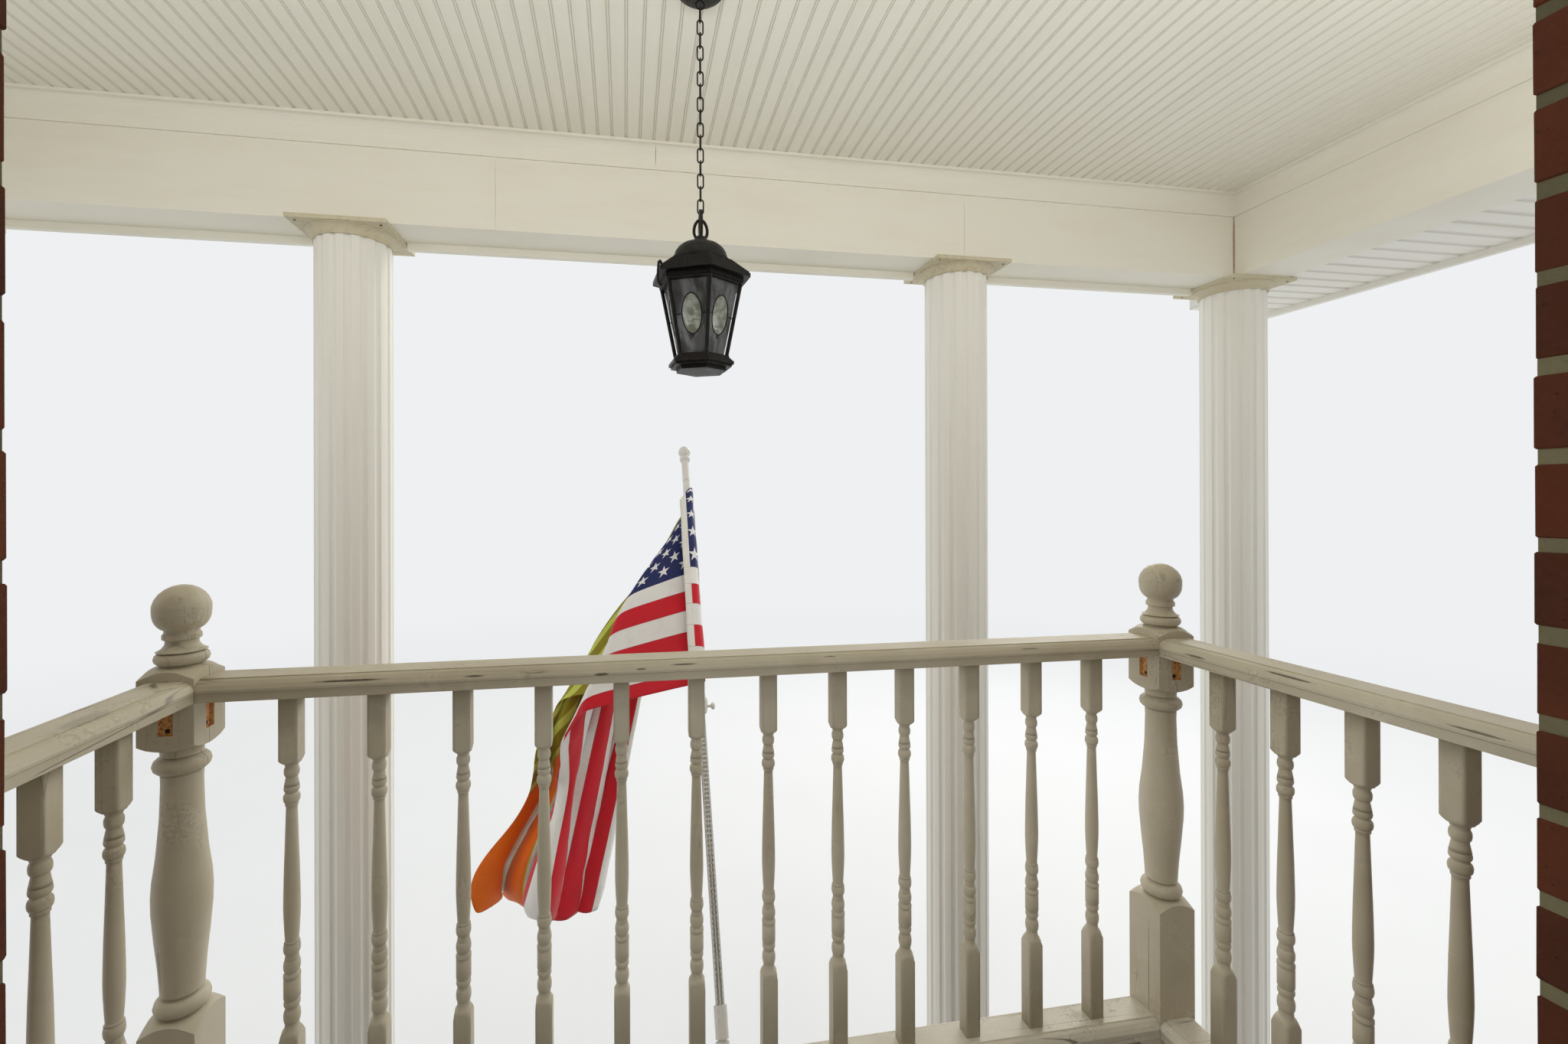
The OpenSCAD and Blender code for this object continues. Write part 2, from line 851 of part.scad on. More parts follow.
module pole_bracket() {
    plate_w = 60;
    plate_h = 110;
    wall = 5;
    color("#efefec")
        difference() {
            union() {
                translate([-plate_w/2, rim_y - plate_t, deck_z - board_t - 2 - plate_h])
                    cube([plate_w, plate_t, plate_h]);
                along_pole(-8)
                    cylinder(h = socket_len + 8, d = pole_low_d + 2*wall);
                // Web between the plate and the socket
                translate([-5, 0, 0])
                    rotate([90, 0, 90])
                        linear_extrude(10)
                            polygon([[rim_y - 1, pole_foot.z - 50], [pole_foot.y, pole_foot.z - 8],
                                [pole_foot.y - 20, pole_foot.z + 26], [rim_y - 1, pole_foot.z + 26]]);
            }
            along_pole(0)
                cylinder(h = socket_len + 1, d = pole_low_d);
        }
}

// Two tubes, a clip with a wing knob, a collar and the ball
module flagpole() {
    color("#d8d9d8") {
        along_pole(0)
            cylinder(h = joint_s, d = pole_low_d);
        along_pole(joint_s - 1)
            cylinder(h = pole_len - joint_s + 1, d = pole_d);
        along_pole(joint_s - 16)
            cylinder(h = 26, d = pole_d + 8);
        along_pole(joint_s - 4)
            rotate([0, 90, 180])
                cylinder(h = pole_d/2 + 20, d = 7);
        along_pole(socket_len + 4)
            cylinder(h = 60, d = pole_low_d + 9);
        along_pole(pole_len - 2)
            rotate_extrude()
                polygon(concat([[0, 0], [pole_d/2 + 2, 0], [pole_d/2 + 5, 6], [pole_d/2 + 6, 14],
                    [pole_d/2 + 3, 20], [11, 25]],
                    [for (a = [-58:16:70]) [ball_d/2*cos(a), 43 + ball_d/2*sin(a)]],
                    [[0, 43 + ball_d/2]]));
    }
}

function along_y(s) = pole_foot.y - s*cos(pole_angle);
function along_z(s) = pole_foot.z + s*sin(pole_angle);

flag_t = 12;
// Where each flag folds and falls, along the pole
flag_fold_s = 0.485*pole_len;
second_fold_s = 0.4995*pole_len;
second_back = pole_d/2 + flag_t/2;

// A flag: a panel beside the pole, back from its axis, and a panel that falls from the fold.
// Points are parts of the pole's length: sideways, and along the pole or down from the fold
module flag(back, beside, fold_s, fall) {
    along_pole(0)
        translate([0, flag_t/2 - back, 0])
            rotate([90, 0, 0])
                linear_extrude(flag_t)
                    polygon([for (p = beside) [max(p.x*pole_len, back == 0 ? pole_d/2 : -flag_t), p.y*pole_len]]);
    translate([0, along_y(fold_s) - back*sin(pole_angle) + flag_t/2, along_z(fold_s) - back*cos(pole_angle)])
        rotate([90, 0, 0])
            linear_extrude(flag_t)
                polygon(pole_len*fall);
}

module flag_stars() {
    color("#b22234")
        flag(0, [[0, 0.531], [0, 0.913], [0.2, 0.4775]],
            flag_fold_s, [[0.207, 0.008], [0.295, -0.3], [0.178, -0.308], [0.139, -0.148], [0.118, 0.008]]);
}

module flag_stripes() {
    color("#e07a2c")
        flag(second_back, [[-0.0035, 0.527], [-0.0035, 0.852], [0.1716, 0.583], [0.2367, 0.503],
            [0.225, 0.491], [0.148, 0.491]],
            second_fold_s, [[0.2485, 0.0035], [0.369, -0.303], [0.272, -0.309], [0.195, -0.095], [0.148, 0.0035]]);
}

porch_slab();
wall_left();
wall_right();
wall_over_entry();
wall_over_door();
entry_frame();
balcony_door_frame();
column_bases();
column_shaft(0);  // column_shaft_1
column_shaft(1);  // column_shaft_2
column_shaft(2);  // column_shaft_3
column_shaft(3);  // column_shaft_4
column_caps();
beam_front();
beam_side(-1);  // beam_left
beam_side(1);  // beam_right
frieze();
ceiling();
cove_trim();
tympanum();
soffits();
fascias();
rake_boards();
eave_returns();
roof_side(-1);  // roof_left
roof_side(1);  // roof_right
balcony_frame();
balcony_boards();
newel_at(-1);  // newel_left
newel_at(1);  // newel_right
rail_front(hand_z);  // handrail_front
side_rails(hand_z);  // side_handrails
rail_front(shoe_z);  // bottom_rail_front
side_rails(shoe_z);  // side_bottom_rails
balusters_front();
side_balusters();
lantern_canopy();
lantern_chain();
lantern_roof();
lantern_cage();
lantern_glass();
lantern_candle();
pole_bracket();
flagpole();
flag_stars();
flag_stripes();
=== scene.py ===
import json
import math

import bmesh
import bpy
from mathutils import Matrix, Vector, noise

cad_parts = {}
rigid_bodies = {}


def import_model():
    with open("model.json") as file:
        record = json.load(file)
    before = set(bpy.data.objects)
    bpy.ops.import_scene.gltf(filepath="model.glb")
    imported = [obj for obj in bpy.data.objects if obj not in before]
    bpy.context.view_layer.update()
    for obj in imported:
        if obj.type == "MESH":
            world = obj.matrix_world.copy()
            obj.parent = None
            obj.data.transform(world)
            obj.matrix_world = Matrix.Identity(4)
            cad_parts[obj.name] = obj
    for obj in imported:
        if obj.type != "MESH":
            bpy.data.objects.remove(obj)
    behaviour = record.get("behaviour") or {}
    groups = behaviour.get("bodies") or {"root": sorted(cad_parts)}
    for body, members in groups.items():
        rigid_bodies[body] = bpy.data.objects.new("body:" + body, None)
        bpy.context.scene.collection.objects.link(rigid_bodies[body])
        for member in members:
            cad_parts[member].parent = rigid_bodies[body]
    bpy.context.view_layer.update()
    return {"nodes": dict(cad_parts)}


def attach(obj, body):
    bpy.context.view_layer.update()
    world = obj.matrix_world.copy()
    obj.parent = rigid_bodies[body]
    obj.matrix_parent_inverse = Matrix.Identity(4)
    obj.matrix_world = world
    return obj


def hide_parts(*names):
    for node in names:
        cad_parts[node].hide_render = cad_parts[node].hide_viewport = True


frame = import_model()
scene = bpy.context.scene
nodes = frame["nodes"]

# Sizes of the porch, in metres, as the part's source has them
MID_BAY, SIDE_BAY, HALF_W = 2.390, 1.390, 2.705
CAP_W, BEAM_W = 0.325, 0.240
DOOR_X, DOOR_W, DOOR_H, ENTRY_H = 0.023, 0.984, 2.060, 2.110
WALL_Y, BACK_Y = 1.1745, 1.4245
COL_Y, BEAM_Y, FRONT_Y, ROOF_FRONT = -1.0445, -0.9245, -1.1245, -1.4245
SLAB_H, DECK_Z, BEAM_Z, CEILING_Z = 0.150, 2.824, 5.027, 5.383
EAVE_X, EAVE_Z, RIDGE_Z = 3.180, 5.227, 6.817
ROOF_SLOPE, ROOF_T = 0.5, 0.060
RAIL_H, LOW_RAIL_UP, LOW_RAIL_H = 0.914, 0.054, 0.038
NEWEL_X, NEWEL_Y, NEWEL_W = 0.967, 0.2865, 0.086
DECK_FRONT, BOARD_PITCH = 0.2185, 0.143
LANTERN_X, LANTERN_Y, LANTERN_TOP = 0.012, -0.1405, 4.718
POLE_FOOT = Vector((0, 0.1885, 2.769))
POLE_LEAN = math.radians(56.4)
POLE_LEN, POLE_JOINT = 1.690, 0.830
POLE_AXIS = Vector((0, -math.cos(POLE_LEAN), math.sin(POLE_LEAN)))
POLE_OVER = Vector((0, math.sin(POLE_LEAN), math.cos(POLE_LEAN)))


def tint(red, green, blue):
    """A colour given on a 0 to 255 scale, as the shader wants it."""
    def linear(value):
        value /= 255
        return value / 12.92 if value <= 0.04045 else ((value + 0.055) / 1.055) ** 2.4
    return (linear(red), linear(green), linear(blue), 1.0)


def toned(colour, *factors):
    """A colour with each of its three parts made darker or paler."""
    return tint(*[min(255, part * factor) for part, factor in zip(colour, factors)])


def round_steps(count):
    """Angles of a whole turn in equal steps."""
    return [2 * math.pi * step / count for step in range(count)]


# The camera stands in the upper doorway, at the height of a person's eyes
CAMERA_AT = (0.208, WALL_Y + 0.385, 4.041)
YAW, PITCH, ROLL = 0.16729, -0.00137, -0.00259
LENS, SENSOR_W, SHIFT_X, SHIFT_Y = 14.933, 36, 0.030973, -0.014851


def stand_camera():
    level = Matrix(((1, 0, 0), (0, 0, -1), (0, 1, 0)))
    axes = (Matrix.Rotation(ROLL, 3, "Z") @ Matrix.Rotation(PITCH, 3, "X") @ level
            @ Matrix.Rotation(YAW, 3, "Z"))
    right, down, ahead = [Vector((-row[0], -row[1], row[2])) for row in axes]
    place = Matrix.Identity(4)
    for row in range(3):
        place[row] = (right[row], -down[row], -ahead[row], CAMERA_AT[row])
    data = bpy.data.cameras.new("doorway_camera")
    data.lens = LENS
    data.sensor_width = SENSOR_W
    data.shift_x = SHIFT_X
    data.shift_y = SHIFT_Y
    data.clip_start = 0.02
    camera = bpy.data.objects.new("doorway_camera", data)
    camera.matrix_world = place
    scene.collection.objects.link(camera)
    scene.camera = camera


stand_camera()


class Reading:
    """A number, colour or direction on its way through a finish or a layout."""

    def __init__(self, tree, socket):
        self.tree = tree
        self.socket = socket

    def __add__(self, other):
        return self.tree.sum("ADD", self, other)

    def __radd__(self, other):
        return self.tree.sum("ADD", other, self)

    def __sub__(self, other):
        return self.tree.sum("SUBTRACT", self, other)

    def __rsub__(self, other):
        return self.tree.sum("SUBTRACT", other, self)

    def __mul__(self, other):
        return self.tree.sum("MULTIPLY", self, other)

    def __rmul__(self, other):
        return self.tree.sum("MULTIPLY", other, self)

    def __truediv__(self, other):
        return self.tree.sum("DIVIDE", self, other)

    def __mod__(self, other):
        return self.tree.sum("FLOORED_MODULO", self, other)

    def __gt__(self, other):
        return self.tree.sum("GREATER_THAN", self, other)

    def __lt__(self, other):
        return self.tree.sum("LESS_THAN", self, other)


class Tree:
    """Nodes that are wired up in the order in which they are written."""

    def node(self, kind, settings=None, inputs=None, output=0):
        made = self.nodes.new(kind)
        for name, value in (settings or {}).items():
            setattr(made, name, value)
        for name, value in (inputs or {}).items():
            if isinstance(value, Reading):
                self.links.new(value.socket, made.inputs[name])
            else:
                made.inputs[name].default_value = value
        return Reading(self, made.outputs[output])

    def sum(self, operation, first, second=0.0):
        return self.node("ShaderNodeMath", {"operation": operation}, {0: first, 1: second})

    def vector(self, operation, first, second=(0, 0, 0), output=0):
        return self.node("ShaderNodeVectorMath", {"operation": operation},
                         {0: first, "Scale" if operation == "SCALE" else 1: second}, output)


class Finish(Tree):
    """The look of one material: paint, brick, metal, glass or cloth."""

    def __init__(self, name, **fixed):
        self.material = bpy.data.materials.new(name)
        self.material.use_nodes = True
        self.nodes = self.material.node_tree.nodes
        self.links = self.material.node_tree.links
        self.nodes.clear()
        self.shader = self.nodes.new("ShaderNodeBsdfPrincipled")
        self.out = self.nodes.new("ShaderNodeOutputMaterial")
        self.links.new(self.shader.outputs[0], self.out.inputs[0])
        for socket, value in fixed.items():
            self.shader.inputs[socket.replace("_", " ")].default_value = value
        self.here = self.node("ShaderNodeTexCoord", output="Object")

    def set(self, **sockets):
        for socket, value in sockets.items():
            self.links.new(value.socket, self.shader.inputs[socket.replace("_", " ")])
        return self

    def stretched(self, x, y, z, of=None):
        """The place on the piece with each direction scaled."""
        return self.vector("MULTIPLY", of or self.here, (x, y, z))

    def part(self, axis, of=None):
        return self.node("ShaderNodeSeparateXYZ", None, {0: of or self.here}, "XYZ".index(axis))

    def cloud(self, scale, detail=3.0, rough=0.55, of=None, warp=0.0):
        return self.node("ShaderNodeTexNoise", None,
                         {"Vector": of or self.here, "Scale": scale, "Detail": detail,
                          "Roughness": rough, "Distortion": warp}, "Fac")

    def cells(self, scale, feature="F1", of=None):
        return self.node("ShaderNodeTexVoronoi", {"feature": feature},
                         {"Vector": of or self.here, "Scale": scale}, "Distance")

    def ease(self, value, low, high, start=0.0, end=1.0):
        """Smooth step of a value from low to high."""
        ends = {"From Min": low, "From Max": high, "To Min": start, "To Max": end}
        return self.node("ShaderNodeMapRange", {"interpolation_type": "SMOOTHSTEP"}, {"Value": value, **ends})

    def blend(self, amount, first, second):
        """The first colour where the amount is 0, and the second where it is 1."""
        return self.node("ShaderNodeMix", {"data_type": "RGBA"}, {0: amount, 6: first, 7: second}, 2)

    def relief(self, height, depth, strength):
        return self.node("ShaderNodeBump", None, {"Height": height, "Distance": depth, "Strength": strength})

    def mark(self, place, reach):
        """An oval stain or scratch with ragged edges, 1 at its middle and 0 outside."""
        away = self.vector("DIVIDE", self.vector("SUBTRACT", self.here, place), reach)
        far = self.vector("LENGTH", away, output="Value")
        return self.ease(far + self.cloud(90.0, 4.0, 0.7) * 0.7 - 0.35, 1.0, 0.55)

    def read(self, name):
        """What a layout stored under this name."""
        return self.node("ShaderNodeAttribute", {"attribute_name": name}, None, "Fac")


class Layout(Tree):
    """A Geometry Nodes tree with named inputs, for what repeats or follows a path."""

    def __init__(self, name, *inputs):
        self.group = bpy.data.node_groups.new(name, "GeometryNodeTree")
        self.nodes = self.group.nodes
        self.links = self.group.links
        for label, kind in inputs:
            self.group.interface.new_socket(label, in_out="INPUT", socket_type="NodeSocket" + kind)
        self.group.interface.new_socket("Result", in_out="OUTPUT", socket_type="NodeSocketGeometry")
        self.given = self.nodes.new("NodeGroupInput")

    def ask(self, label):
        return Reading(self, self.given.outputs[label])

    def close(self, shape):
        """Makes the shape the tree's result, with its finish on."""
        real = self.node("GeometryNodeRealizeInstances", None, {"Geometry": shape})
        done = self.node("GeometryNodeSetMaterial", None, {"Geometry": real, "Material": self.ask("Finish")})
        self.links.new(done.socket, self.nodes.new("NodeGroupOutput").inputs[0])

    def lay(self, name, base, slot, finish, body="porch", stands_for=(), outward=False, **values):
        """Runs the tree on a mesh and keeps its result as a plain piece."""
        holder = bpy.data.objects.new(name, base)
        scene.collection.objects.link(holder)
        laid = holder.modifiers.new("laid", "NODES")
        laid.node_group = self.group
        values["Finish"] = finish.material
        for item in self.group.interface.items_tree:
            if item.in_out == "INPUT" and item.name in values:
                laid[item.identifier] = values[item.name]
        graph = bpy.context.evaluated_depsgraph_get()
        mesh = bpy.data.meshes.new_from_object(holder.evaluated_get(graph))
        bpy.data.objects.remove(holder)
        if outward:
            shape = bmesh.new()
            shape.from_mesh(mesh)
            bmesh.ops.recalc_face_normals(shape, faces=shape.faces)
            shape.to_mesh(mesh)
            shape.free()
        add_piece(name, mesh, None, body, stands_for)


def laid_pieces():
    """One piece on each spot, with the spot's own size and turn, a little out of true."""
    tree = Layout("laid_pieces", ("Spots", "Geometry"), ("Piece", "Object"), ("Wobble", "Float"),
                  ("Seed", "Int"), ("Finish", "Material"))
    size, turn = [tree.node("GeometryNodeInputNamedAttribute", {"data_type": "FLOAT_VECTOR"}, {"Name": name})
                  for name in ("size", "turn")]
    drift = tree.node("FunctionNodeRandomValue", {"data_type": "FLOAT_VECTOR"},
                      {0: (-1, -1, -1), 1: (1, 1, 1), "Seed": tree.ask("Seed")})
    tone = tree.node("FunctionNodeRandomValue", {"data_type": "FLOAT"},
                     {2: 0.0, 3: 1.0, "Seed": tree.ask("Seed")}, 1)
    push = tree.vector("SCALE", drift, tree.ask("Wobble"))
    points = tree.node("GeometryNodeMeshToPoints", None, {"Mesh": tree.ask("Spots")})
    moved = tree.node("GeometryNodeSetPosition", None, {"Geometry": points, "Offset": push})
    lean = tree.vector("ADD", turn, tree.vector("SCALE", push, 4.0))
    turned = tree.node("FunctionNodeEulerToRotation", None, {"Euler": lean})
    piece = tree.node("GeometryNodeObjectInfo", None, {"Object": tree.ask("Piece")}, "Geometry")
    placed = tree.node("GeometryNodeInstanceOnPoints", None,
                       {"Points": moved, "Instance": piece, "Rotation": turned, "Scale": size})
    marked = tree.node("GeometryNodeStoreNamedAttribute", {"data_type": "FLOAT", "domain": "INSTANCE"},
                       {"Geometry": placed, "Name": "tone", "Value": tone})
    tree.close(marked)
    return tree


def drawn_wire():
    """A round wire along every line of edges."""
    tree = Layout("drawn_wire", ("Path", "Geometry"), ("Radius", "Float"), ("Sides", "Int"),
                  ("Finish", "Material"))
    line = tree.node("GeometryNodeMeshToCurve", None, {"Mesh": tree.ask("Path")})
    ring = tree.node("GeometryNodeCurvePrimitiveCircle", None,
                     {"Resolution": tree.ask("Sides"), "Radius": tree.ask("Radius")})
    tree.close(tree.node("GeometryNodeCurveToMesh", None,
                         {"Curve": line, "Profile Curve": ring, "Fill Caps": True}))
    return tree


def add_piece(name, mesh, finish, body="porch", stands_for=()):
    """Puts a mesh in the scene on its body, in place of the solids that it stands for."""
    piece = bpy.data.objects.new(name, mesh)
    scene.collection.objects.link(piece)
    if finish:
        mesh.materials.clear()
        mesh.materials.append(finish.material)
    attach(piece, body)
    if stands_for:
        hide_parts(*stands_for)
    return piece


def spot(place, size=(1, 1, 1), turn=(0, 0, 0)):
    """Where one laid piece goes, as the spots of a layout take it."""
    return place, size, turn


def spots(name, rows):
    """A mesh of points that carry the size and the turn of the piece laid on each."""
    mesh = bpy.data.meshes.new(name)
    mesh.from_pydata([row[0] for row in rows], [], [])
    for index, label in ((1, "size"), (2, "turn")):
        stored = mesh.attributes.new(label, "FLOAT_VECTOR", "POINT")
        stored.data.foreach_set("vector", [part for row in rows for part in row[index]])
    return mesh


def as_mesh(name, shape):
    mesh = bpy.data.meshes.new(name)
    shape.to_mesh(mesh)
    shape.free()
    return mesh


def solid_mesh(name, shape):
    """The mesh of a closed shape, with every face turned outwards."""
    bmesh.ops.recalc_face_normals(shape, faces=shape.faces)
    return as_mesh(name, shape)


def template(name, shape):
    """A closed piece that a layout copies and that is taken away afterwards."""
    holder = bpy.data.objects.new(name, solid_mesh(name, shape))
    scene.collection.objects.link(holder)
    return holder


def skin(shape, rings):
    """Closes a row of rings: faces between each two, and one on each end."""
    for ring, following in zip(rings, rings[1:]):
        for index in range(len(ring)):
            after = (index + 1) % len(ring)
            shape.faces.new((ring[index], ring[after], following[after], following[index]))
    shape.faces.new(rings[0])
    shape.faces.new(rings[-1])


def prisms(name, outlines, low, high):
    """Closed prisms: each outline is drawn in X and Z and runs from low to high along Y."""
    shape = bmesh.new()
    for outline in outlines:
        skin(shape, [[shape.verts.new((x, y, z)) for x, z in outline] for y in (low, high)])
    return solid_mesh(name, shape)


# The newels' balls: height over the deck, radius, depth of the lower half and its fullness
BALL_Z, BALL_R, BALL_DOWN, BALL_FULL = 1.031, 0.0410, 0.041, 2.6


def fuller_ball(shape):
    """A newel's ball, made as full below its middle as the real one before it meets the neck."""
    for vert in shape.verts:
        down = DECK_Z + BALL_Z - vert.co.z
        middle = Vector((math.copysign(NEWEL_X, vert.co.x), NEWEL_Y, vert.co.z))
        out = vert.co - middle
        if 0 < down < BALL_DOWN * 0.9 and out.length > 0.02:
            reach = BALL_R * (1 - (down / BALL_DOWN) ** BALL_FULL) ** (1 / BALL_FULL)
            vert.co = middle + out.normalized() * reach


def smooth_copies(finish, slot, *names, corner=0.0, limit=34, reshape=None):
    """Copies of fixed solids with round faces shaded as round, and sharp corners eased."""
    for name in names:
        shape = bmesh.new()
        shape.from_mesh(nodes[name].data)
        bmesh.ops.remove_doubles(shape, verts=shape.verts, dist=1e-5)
        bmesh.ops.dissolve_limit(shape, angle_limit=math.radians(0.6), verts=shape.verts, edges=shape.edges)
        if reshape:
            reshape(shape)
        if corner:
            sharp = [edge for edge in shape.edges if len(edge.link_faces) == 2
                     and edge.calc_face_angle_signed() > math.radians(50)]
            bmesh.ops.bevel(shape, geom=sharp, offset=corner, segments=2, affect="EDGES", profile=0.6,
                            clamp_overlap=True)
        for face in shape.faces:
            face.smooth = True
        for edge in shape.edges:
            edge.smooth = len(edge.link_faces) == 2 and edge.calc_face_angle() < math.radians(limit)
        body = nodes[name].parent.name.split(":")[1]
        add_piece(name + "_smooth", as_mesh(name + "_smooth", shape), finish, body, (name,))


def dress(finish, *names):
    """Gives fixed solids a finish in place of the one that they came with."""
    for name in names:
        slots = nodes[name].material_slots
        for index in range(len(slots)):
            slots[index].material = finish.material
        if not len(slots):
            nodes[name].data.materials.append(finish.material)


def trim_paint(name, colour, dirt, rough, grain, speck=0.5, marks=(), above=None, groove_shade=0.32):
    """Vinyl and painted boards, warm white with faint streaks, and painted shade in grooves over a height."""
    paint = Finish(name, Specular_IOR_Level=0.35)
    broad = paint.cloud(0.9, 3.0)
    streak = paint.cloud(14.0, 4.0, 0.6, paint.stretched(*grain))
    fine = paint.cloud(160.0, 3.0, 0.6)
    grime = paint.ease(streak * 0.6 + broad * 0.4, 0.42, 0.74)
    shade = paint.blend(grime * dirt, tint(*colour), toned(colour, 0.84, 0.81, 0.74))
    dots = paint.ease(paint.cells(26.0), 0.035, 0.012) * paint.ease(paint.cloud(3.1), 0.56, 0.66)
    shade = paint.blend(dots * speck, shade, tint(112, 98, 78))
    if above:
        # Painted shade: points more than a millimetre over the given height lie in the grooves and are
        # darkened
        groove = paint.ease(paint.part("Z"), above + 0.0010, above + 0.0024)
        shade = paint.blend(groove * groove_shade, shade, tint(150, 142, 122))
    for place, reach, depth, stain in marks:
        shade = paint.blend(paint.mark(place, reach) * depth, shade, tint(*stain))
    dull = paint.ease(fine * 0.5 + grime * 0.5, 0.2, 0.8, rough - 0.06, rough + 0.14)
    return paint.set(Base_Color=shade, Roughness=dull,
                     Normal=paint.relief(fine * 0.6 + streak * 0.4, 0.0003, 0.5))


# Slots in the newels: heights, half width, distance of the floor from the newel's middle, and a hole whose
# inside is painted dark as painted shade
SLOT_LOW, SLOT_HIGH = DECK_Z + RAIL_H - 0.0905, DECK_Z + RAIL_H - 0.0375
SLOT_HALF, SLOT_FLOOR = 0.0111, 0.0365
SLOT_HOLE_Z, HOLE_OUT, HOLE_IN = DECK_Z + RAIL_H - 0.0835, 0.0042, 0.0030


def raw_slot(paint):
    """Where the newels' slots show bare wood: under the rails, towards the house and the middle."""
    x, y, z = [paint.part(axis) for axis in "XYZ"]
    across = paint.sum("ABSOLUTE", x)
    off_x = paint.sum("ABSOLUTE", across - NEWEL_X)
    off_y = paint.sum("ABSOLUTE", y - NEWEL_Y)
    face = NEWEL_W / 2 + 0.001
    band = (z > SLOT_LOW) * (z < SLOT_HIGH)
    house = (y > NEWEL_Y + SLOT_FLOOR) * (y < NEWEL_Y + face) * (off_x < SLOT_HALF)
    middle = (across < NEWEL_X - SLOT_FLOOR) * (across > NEWEL_X - face) * (off_y < SLOT_HALF)
    # The hole: a small spot painted dark, a painted shade inside it
    level = paint.ease(paint.sum("ABSOLUTE", z - SLOT_HOLE_Z), HOLE_OUT, HOLE_IN)
    narrow = paint.ease(paint.sum("MINIMUM", off_x, off_y), HOLE_OUT, HOLE_IN)
    return band * paint.sum("MAXIMUM", house, middle), level * narrow


def rail_paint(name, colour, along, marks=(), slots=False, cracks=0.7):
    """Old off-white paint on wood, with scuffs, chips and hairline cracks."""
    paint = Finish(name, Specular_IOR_Level=0.3)
    x, y, z = [6.0 if axis == along else 90.0 for axis in "XYZ"]
    grain = paint.cloud(1.0, 4.0, 0.6, paint.stretched(x, y, z), 0.4)
    broad = paint.cloud(2.3, 4.0, 0.6)
    patch = paint.cloud(14.0, 5.0, 0.65)
    fine = paint.cloud(150.0, 4.0, 0.65)
    worn = paint.ease(fine * 0.35 + patch * 0.4 + broad * 0.25, 0.555, 0.63)
    scales = paint.cells(1.0, "DISTANCE_TO_EDGE", paint.stretched(x * 0.25, y * 0.25, z * 0.25))
    crack = paint.ease(scales, 0.012, 0.003) * paint.ease(broad, 0.56, 0.64)
    shade = paint.blend(paint.ease(broad, 0.35, 0.68) * 0.7, tint(*colour), toned(colour, 0.90, 0.885, 0.85))
    shade = paint.blend(paint.ease(patch, 0.5, 0.75) * 0.6, shade, toned(colour, 1.06, 1.06, 1.07))
    shade = paint.blend(worn * 0.28, shade, tint(120, 108, 88))
    shade = paint.blend(crack * cracks, shade, tint(74, 64, 52))
    height = grain * 0.35 + patch * 0.3 + fine * 0.15 - worn * 0.3 - crack * cracks
    for place, reach, depth, stain in marks:
        flaw = paint.mark(place, reach) * depth
        shade = paint.blend(flaw, shade, tint(*stain))
        height = height - flaw * 0.5
    if slots:
        raw, hole_shade = raw_slot(paint)
        wood = paint.blend(paint.ease(paint.cloud(210.0, 5.0, 0.7), 0.42, 0.68), tint(222, 172, 112),
                           tint(150, 90, 46))
        # Bare wood in the slots, and painted shade in the hole
        shade = paint.blend(raw, shade, paint.blend(hole_shade, wood, tint(48, 30, 22)))
        height = height - raw * hole_shade
    return paint.set(Base_Color=shade, Roughness=paint.ease(patch * 0.6 + worn * 0.4, 0.2, 0.8, 0.46, 0.74),
                     Normal=paint.relief(height, 0.0012, 0.5))


# Marks on the paint: each is a place, its reach each way, how strong it is and its stain
SEAM, RUST_LINE, RUST_CORE, NAIL_HOLE = (168, 158, 140), (150, 104, 58), (150, 100, 52), (92, 82, 66)
GOUGE, SMUDGE, YELLOWED = (66, 54, 42), (118, 108, 90), (196, 182, 136)
BEAM_IN, RAIL_FACE, SIDE_FACE = HALF_W - BEAM_W, NEWEL_Y + 0.0445, NEWEL_X - 0.04
beam_marks = [((0.674, BEAM_Y, 5.15), (0.0012, 0.02, 0.16), 0.7, SEAM),
              ((-1.171, BEAM_Y, 5.15), (0.0012, 0.02, 0.16), 0.7, SEAM),
              ((-BEAM_IN, BEAM_Y, 5.16), (0.008, 0.008, 0.20), 0.4, RUST_LINE),
              ((-BEAM_IN, BEAM_Y, 5.16), (0.003, 0.003, 0.22), 0.7, RUST_CORE),
              ((BEAM_IN, BEAM_Y, 5.16), (0.008, 0.008, 0.20), 0.6, RUST_LINE),
              ((0.093, BEAM_Y, 5.345), (0.0016, 0.06, 0.05), 0.8, NAIL_HOLE)]
post_marks = [((NEWEL_X - 0.043, NEWEL_Y + 0.002, 3.70), (0.03, 0.0009, 0.21), 0.8, GOUGE),
              ((-NEWEL_X + 0.043, NEWEL_Y + 0.012, 2.99), (0.012, 0.0011, 0.17), 0.8, GOUGE),
              ((0.955, 0.325, 3.876), (0.020, 0.010, 0.016), 0.2, SMUDGE),
              ((0.935, 0.31, 3.85), (0.010, 0.010, 0.014), 0.15, SMUDGE),
              ((-0.945, 0.318, 3.872), (0.007, 0.012, 0.013), 0.3, SMUDGE),
              ((-0.975, 0.322, 3.862), (0.010, 0.010, 0.007), 0.3, SMUDGE),
              ((0.985, 0.318, 3.25), (0.004, 0.014, 0.045), 0.6, SMUDGE),
              ((0.978, 0.318, 3.22), (0.010, 0.012, 0.10), 0.3, YELLOWED)]
